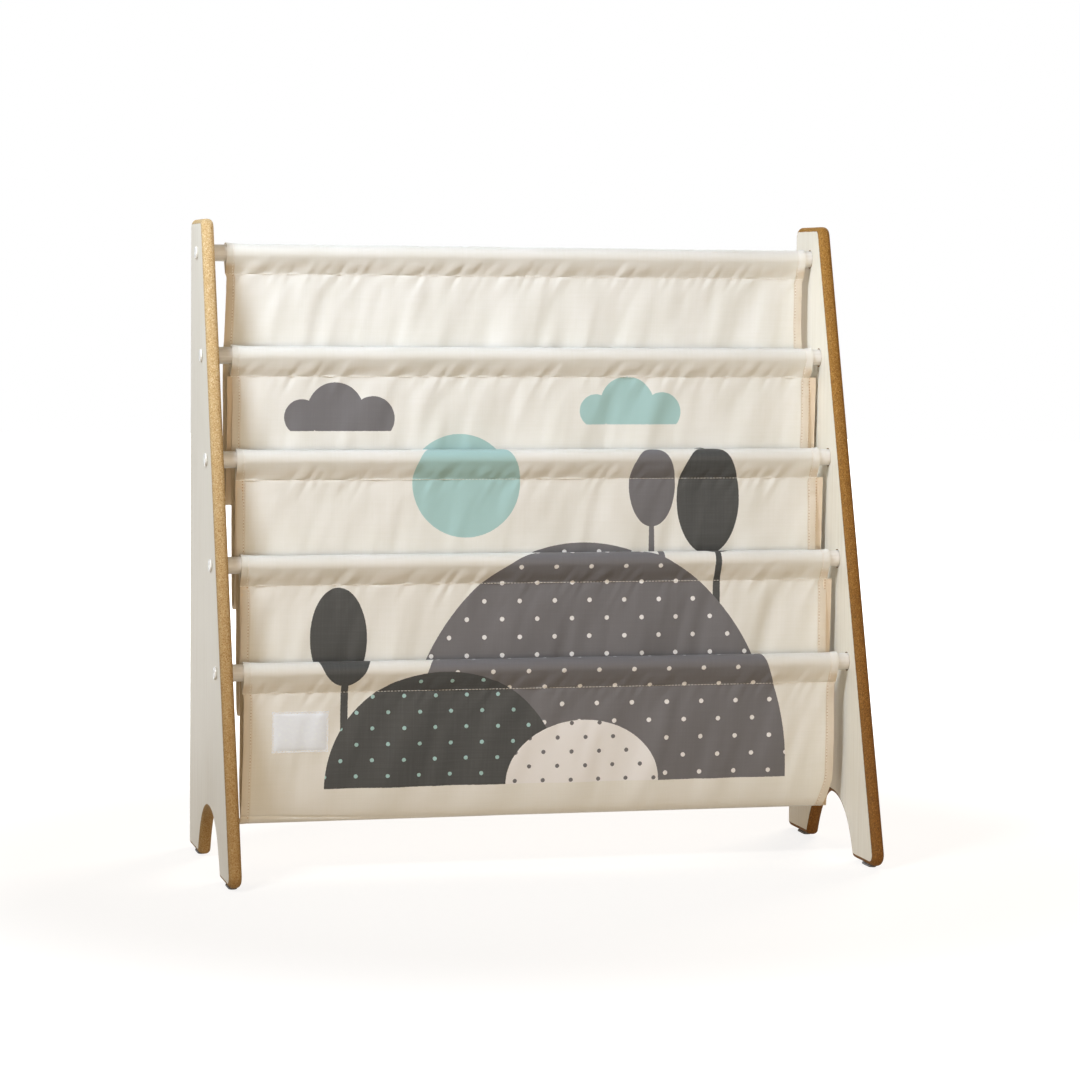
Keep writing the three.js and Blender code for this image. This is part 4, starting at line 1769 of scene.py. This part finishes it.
    @staticmethod
    def paint(mesh: bpy.types.Mesh, name: str, places: Points) -> None:
        """Adds a UV map that holds a place for each vertex.

        Args:
            mesh: the mesh.
            name: the map's name.
            places: the places, in millimetres.
        """
        layer = mesh.uv_layers.new(name=name)
        corners = np.zeros(len(mesh.loops), np.int32)
        mesh.loops.foreach_get("vertex_index", corners)
        layer.data.foreach_set("uv", (places[corners] * MM).ravel())

    @staticmethod
    def tell(mesh: bpy.types.Mesh, name: str, values: Points) -> None:
        """Adds a number for each vertex, for the finish to read."""
        mesh.attributes.new(name, "FLOAT", "POINT").data.foreach_set("value", values)

    def shown(self, below: Points) -> Points:
        """Finds where the panel carries the print: over the front of the rod, down to the next one.

        Args:
            below: lengths below the seam.

        Returns:
            1 where it does.
        """
        over = ramp(below, -self.printed_share * self.sleeve_length, 2)
        if self.is_front:
            return over
        seen = self.sleeve.seam_z - self.frame.rods[self.number].z - 2
        return over * ramp(below, seen, -2)

    def nodes(self) -> list[str]:
        """Lists the nodes that the panel stands for.

        Returns:
            Their names.
        """
        layers = {4: ["pocket_back_4"], 5: ["pocket_front_4"]}
        both = [f"pocket_back_{self.number}", f"pocket_front_{self.number}"]
        return [f"sling_sleeve_{self.number}", *layers.get(self.number, both)]


@dataclass
class Lockstitch:
    """A row of short arched stitches that lie along a line at an even pitch."""

    pitch: float = 3.2
    length: float = 2.6
    thread: float = 0.55
    rise: float = 0.28

    def __post_init__(self) -> None:
        """Makes the tree that lays the stitches."""
        self.tree = self.make_tree()

    @staticmethod
    def make_tree() -> bpy.types.NodeTree:
        """Makes the tree that lays a stitch at every pitch, upright on the cloth.

        Returns:
            The tree.
        """
        sockets = dict.fromkeys(("Pitch", "Length", "Thread", "Rise"), "NodeSocketFloat")
        tree, given = new_tree("lockstitch", {**sockets, "Finish": "NodeSocketMaterial"})
        add = partial(add_node, tree)
        lines = add("GeometryNodeMeshToCurve", {0: given["Geometry"]})
        inputs: dict[str | int, Any] = {"Curve": lines.outputs[0], "Length": given["Pitch"]}
        spaced = add("GeometryNodeResampleCurve", inputs, mode="LENGTH")
        back, half, low, radius = (
            add("ShaderNodeMath", {0: given[name], 1: share}, operation="MULTIPLY").outputs[0]
            for name in ("Length", "Thread")
            for share in (-0.5, 0.5)
        )
        inputs = {
            "Resolution": 4,
            "Start": add("ShaderNodeCombineXYZ", {"X": back, "Z": low}).outputs[0],
            "Middle": add("ShaderNodeCombineXYZ", {"Z": given["Rise"]}).outputs[0],
            "End": add("ShaderNodeCombineXYZ", {"X": half, "Z": low}).outputs[0],
        }
        arch = add("GeometryNodeCurveQuadraticBezier", inputs)
        inputs = {"Resolution": 5, "Radius": radius}
        section = add("GeometryNodeCurvePrimitiveCircle", inputs, mode="RADIUS")
        inputs = {
            "Curve": arch.outputs[0],
            "Profile Curve": section.outputs["Curve"],
            "Fill Caps": True,
        }
        stitch = add("GeometryNodeCurveToMesh", inputs)
        tangent = add("GeometryNodeInputTangent")
        facing = add("GeometryNodeInputNamedAttribute", {"Name": "facing"}, data_type="FLOAT_VECTOR")
        align = partial(add, "FunctionNodeAlignRotationToVector")
        along = align({"Vector": tangent.outputs[0]}, axis="X")
        inputs = {"Rotation": along.outputs[0], "Vector": facing.outputs[0]}
        upright = align(inputs, axis="Z", pivot_axis="X").outputs[0]
        end_tree(tree, spaced.outputs[0], stitch.outputs[0], upright, given["Finish"])
        return tree

    def sew(
        self, name: str, lines: Sequence[Line], finish: bpy.types.Material, slot: str
    ) -> bpy.types.Object:
        """Sews along lines.

        Args:
            name: the name of the stitches.
            lines: the lines.
            finish: the thread.
            slot: the record's material slot.

        Returns:
            The piece.
        """
        piece = make_points(name, lines)
        sizes = {
            "Pitch": self.pitch * MM,
            "Length": self.length * MM,
            "Thread": self.thread * MM,
            "Rise": self.rise * MM,
            "Finish": finish,
        }
        settle(piece, self.tree, sizes)
        piece.data.shade_smooth()
        return dress(piece, slot)


@dataclass
class Stitching:
    """The stitching of the sling: a line under each rod and one along each hem."""

    panels: list[ClothPanel]
    line_step: float = 1.6
    above_fold: float = 6.0
    above_end: float = 3.0

    def lines(self, panel: ClothPanel) -> list[Line]:
        """Lays out the lines of one panel, the hems' on both its sides.

        Args:
            panel: the panel.

        Returns:
            The lines.
        """
        width = panel.sleeve.right - panel.sleeve.left
        share = np.linspace(0.002, 0.998, round(width / self.line_step))
        found = [self.lifted(panel, share, np.zeros(len(share)), 1)]
        last = panel.end - self.above_end if panel.is_front else panel.full - self.above_fold
        for edge in (panel.hem_stitch, width - panel.hem_stitch):
            for start, way in ((-panel.sleeve_length * panel.printed_share, 1), (2, -1)):
                below = np.arange(start, last, self.line_step)
                found.append(self.lifted(panel, np.full(len(below), edge / width), below, way))
        return found

    def lifted(self, panel: ClothPanel, share: Points, below: Points, way: int) -> Line:
        """Lifts a line onto the cloth.

        Args:
            panel: the panel.
            share: shares of its width along the line.
            below: lengths below its seam.
            way: 1 for its printed side, -1 for its reverse.

        Returns:
            The line.
        """
        points, outward = panel.surface(share, below)
        off = panel.thickness / 2 if way > 0 else panel.hem_thickness - panel.thickness / 2
        return points + outward * way * off, outward * way

    def build(self, finish: bpy.types.Material) -> None:
        """Sews each panel.

        Args:
            finish: the thread.
        """
        stitch = Lockstitch()
        for panel in self.panels:
            stitch.sew(f"stitching_{panel.number}", self.lines(panel), finish, "sling_canvas")


@dataclass
class LabelPatch:
    """The woven label on the lowest pocket: plain, hand-stitched round its edge, a little frayed."""

    panel: ClothPanel
    frame: Frame
    thickness: float = 0.7
    margin: float = 0.2
    lift: float = 0.5
    puff: Hump = Hump(0.6, 4)
    pinch: Hump = Hump(-0.35, 0.7)
    crown_span: tuple[float, float] = (53.0, 38.0)  # the width and height that its crown spans
    fray: float = 0.006
    columns: int = 54
    rows: int = 40
    stitch_inset: float = 1.7
    inset_steps: int = 30
    overcast_pitch: float = 0.7
    overcast_swing: tuple[float, float] = (0.5, 2.05)
    overcast_jitter: float = 0.25
    overcast_seed: int = 77
    fray_seed: int = 901

    def __post_init__(self) -> None:
        """Reads the label's place."""
        low, high = self.frame.box("label_patch")
        self.left, self.right = low[0] + self.margin, high[0] - self.margin
        self.top, self.bottom = high[2], low[2]
        self.size = np.array([self.right - self.left, self.top - self.bottom])

    def surface(self, share: Points, down: Points, lift: float) -> Line:
        """Finds places on the label.

        Args:
            share: shares of its width.
            down: shares of its height, from the top down.
            lift: how far they lie off the cloth.

        Returns:
            The points, and the way that they face.
        """
        below = self.panel.sleeve.seam_z - (self.top + (self.bottom - self.top) * down)
        left, right = self.panel.ends(below)
        x = self.left + (self.right - self.left) * share
        points, outward = self.panel.surface((x - left) / (right - left), below)
        wide, high = self.crown_span
        edge = np.minimum(np.minimum(share, 1 - share) * wide, np.minimum(down, 1 - down) * high)
        crown = self.puff.height - self.puff.at(edge)
        pinch = self.pinch.at(edge - self.stitch_inset)
        return points + outward * (lift + crown + pinch)[..., None], outward

    def border(self, start: Points, end: Points) -> Line:
        """Draws the overcast line along one edge, which zigzags over the cut.

        Args:
            start: the corner where the stitch line begins, as shares.
            end: the corner where it ends.

        Returns:
            The line.
        """
        count = int(np.linalg.norm((end - start) * self.size) / self.overcast_pitch)
        line = start + (end - start) * np.linspace(0, 1, count)[:, None]
        outward = ((start + end) / 2 - 0.5) * self.size
        outward = outward / np.linalg.norm(outward) / self.size
        swing = np.where(np.arange(count) % 2 == 0, *self.overcast_swing)[:, None]
        spread = self.overcast_jitter
        jitter = np.random.default_rng(self.overcast_seed).uniform(-spread, spread, (count, 1))
        share, down = np.clip(line + outward * (swing + jitter), -0.01, 1.01).T
        return self.surface(share, down, self.lift)

    def build(self, tape: WovenTape, thread: bpy.types.Material) -> None:
        """Builds the label with its frayed ends, and its stitches.

        Args:
            tape: the label's finish.
            thread: the finish of the stitches.
        """
        share, down = np.meshgrid(
            np.linspace(0, 1, self.columns + 1), np.linspace(0, 1, self.rows + 1)
        )
        ragged = self.fray * SoftNoise(self.fray_seed)(down * 19, share * 3)
        ragged *= np.abs(1 - 2 * share) ** 8 * np.where(share < 0.5, -1, 1)
        front, outward = self.surface(share + ragged, down, self.lift)
        points, faces, _ = closed_sheet(front, front - outward * self.thickness)
        label = sharpen(make_mesh("woven_label", points, faces, [tape.material()]), 60)
        dress(label, "woven_label", "label_patch")
        inset = self.stitch_inset / self.size
        corners = [
            inset + (1 - 2 * inset) * corner for corner in ((0, 0), (1, 0), (1, 1), (0, 1))
        ]
        lines = []
        for start, end in zip(corners, corners[1:] + corners[:1]):
            steps = np.linspace(0, 1, self.inset_steps)[:, None]
            share, down = (start + (end - start) * steps).T
            lines += [self.surface(share, down, self.lift), self.border(start, end)]
        lockstitch = Lockstitch(pitch=2.6, length=2.0, thread=0.45)
        stitches = lockstitch.sew("label_stitching", lines, thread, "woven_label")


# The studio.


@dataclass(frozen=True)
class PhotographCamera:
    """The camera that the photograph was taken with, as a pinhole fitted to its edges."""

    x: float = -757.64
    y: float = -3061.66
    z: float = 542.57
    yaw: float = 0.2441
    pitch: float = -0.0639
    roll: float = 0.009
    focal_px: float = 3349.34
    frame_px: float = 1080.0
    centre_px: tuple[float, float] = (540.0, 500.0)
    sensor: float = 36.0

    def build(self) -> None:
        """Makes the camera and sets it as the scene's."""
        data = bpy.data.cameras.new("camera")
        data.sensor_width = self.sensor
        data.lens = self.sensor * self.focal_px / self.frame_px
        data.shift_y = (self.centre_px[1] - self.frame_px / 2) / self.frame_px
        level = math.cos(self.pitch)
        forward = Vector(
            (math.sin(self.yaw) * level, math.cos(self.yaw) * level, math.sin(self.pitch))
        )
        flat_right = Vector((math.cos(self.yaw), -math.sin(self.yaw), 0))
        flat_up = flat_right.cross(forward)
        right = math.cos(self.roll) * flat_right + math.sin(self.roll) * flat_up
        up = -math.sin(self.roll) * flat_right + math.cos(self.roll) * flat_up
        turn = Matrix((right, up, -forward)).transposed().to_4x4()
        camera = bpy.data.objects.new("camera", data)
        camera.matrix_world = Matrix.Translation(Vector((self.x, self.y, self.z)) * MM) @ turn
        bpy.context.scene.collection.objects.link(camera)
        bpy.context.scene.camera = camera


@dataclass(frozen=True)
class SoftBox:
    """A rectangular studio lamp. Its place, aim and size are in metres."""

    name: str
    place: tuple[float, float, float]
    aim: tuple[float, float, float]
    size: tuple[float, float]
    watts: float
    colour: str
    spread: float = 180.0

    def build(self) -> None:
        """Makes the lamp."""
        data = bpy.data.lights.new(self.name, "AREA")
        data.shape = "RECTANGLE"
        data.size, data.size_y = self.size
        data.energy = self.watts
        data.spread = math.radians(self.spread)
        data.color = linear(self.colour)[:3]
        lamp = bpy.data.objects.new(self.name, data)
        lamp.location = self.place
        way = Vector(self.aim) - Vector(self.place)
        lamp.rotation_euler = way.to_track_quat("-Z", "Y").to_euler()
        bpy.context.scene.collection.objects.link(lamp)


@dataclass
class Studio:
    """A pale floor, a white surround and three soft lamps: high on the left, in front, behind."""

    floor_radius: float = 9000.0
    floor_steps: int = 96
    ambient: float = 0.18
    ambient_colour: str = "#ffdeb0"
    lamps: tuple[SoftBox, ...] = (
        SoftBox("key", (-1.2, -0.88, 1.6), (-0.13, 0.0, 0.8), (0.5, 0.5), 6.9, "#e4f0ff", 75.0),
        SoftBox("fill", (-0.3, -3.05, 0.35), (0.0, 0.0, 0.35), (1.2, 0.9), 36.0, "#ffe9cc"),
        SoftBox("back", (1.7, 2.1, 1.6), (0.0, 0.0, 0.3), (1.2, 1.2), 64.0, "#fdfdff"),
    )

    def build(self) -> None:
        """Builds the studio."""
        scene = bpy.context.scene
        scene.view_settings.view_transform = "Standard"
        rim = np.array([[x, y, 0] for x, y in circle(self.floor_steps)]) * self.floor_radius
        face = tuple(range(self.floor_steps))
        make_mesh("floor", rim, [face], [StudioFloor().material()])
        scene.world = bpy.data.worlds.new("surround")
        scene.world.use_nodes = True
        tree = scene.world.node_tree
        tree.nodes.clear()
        add, seen = partial(add_node, tree), seen_as_backdrop(tree)
        strength = add("ShaderNodeMapRange", {0: seen, 3: self.ambient, 4: 1.0})
        inputs: dict[str | int, Any] = {0: seen, 6: self.ambient_colour, 7: "#ffffff"}
        colour = add("ShaderNodeMix", inputs, data_type="RGBA")
        inputs = {"Color": colour.outputs[2], "Strength": strength.outputs[0]}
        glow = add("ShaderNodeBackground", inputs)
        add("ShaderNodeOutputWorld", {"Surface": glow.outputs[0]})
        for lamp in self.lamps:
            lamp.build()


def main() -> None:
    """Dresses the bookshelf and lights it."""
    logging.basicConfig(level=logging.INFO, format="%(name)s: %(message)s")
    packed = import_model()
    PhotographCamera().build()
    frame = Frame()
    # painted light and shade: the left board's bare edge, which faces the key lamp, gets a lighter
    # copy of the MDF colour, the right board's a darker copy
    raw_tones_lit_and_shaded = {
        Side.LEFT: {"raw": "#d8ba86", "raw_dark": "#b48c56", "raw_light": "#eedcb4"},
        Side.RIGHT: {"raw": "#a5762f", "raw_dark": "#74501f", "raw_light": "#c69a56"},
    }
    enamel = EnamelledSteel().material()
    for side in Side:
        board = SidePanel(side, frame)
        name = f"{side.label}_painted_fibreboard"
        board.build(PaintedFibreboard(name, board.middle_x, board.thickness, **raw_tones_lit_and_shaded[side]))
        ConnectorBolts(side, frame).build(enamel)
    zinc = ZincPlate().material()
    for name, node in packed["nodes"].items():
        if "insert" in name:
            node.data.materials.clear()
            node.data.materials.append(zinc)
    GlidePads(frame).build(PressedFelt())
    Dowels(frame).build(PaintedDowel())
    canvas = PrintedCanvas().material()
    reverse = PrintedCanvas(
        name="plain_canvas", printed=False, cloth="#eee9de", cloth_shade="#e8e1d4"
    ).material()
    panels = [ClothPanel(number, frame) for number in range(1, 6)]
    for panel in panels:
        panel.build(canvas, reverse)
    thread = SewingThread().material()
    Stitching(panels).build(thread)
    LabelPatch(panels[-1], frame).build(WovenTape(), thread)
    Studio().build()


if __name__ == "__main__":
    main()
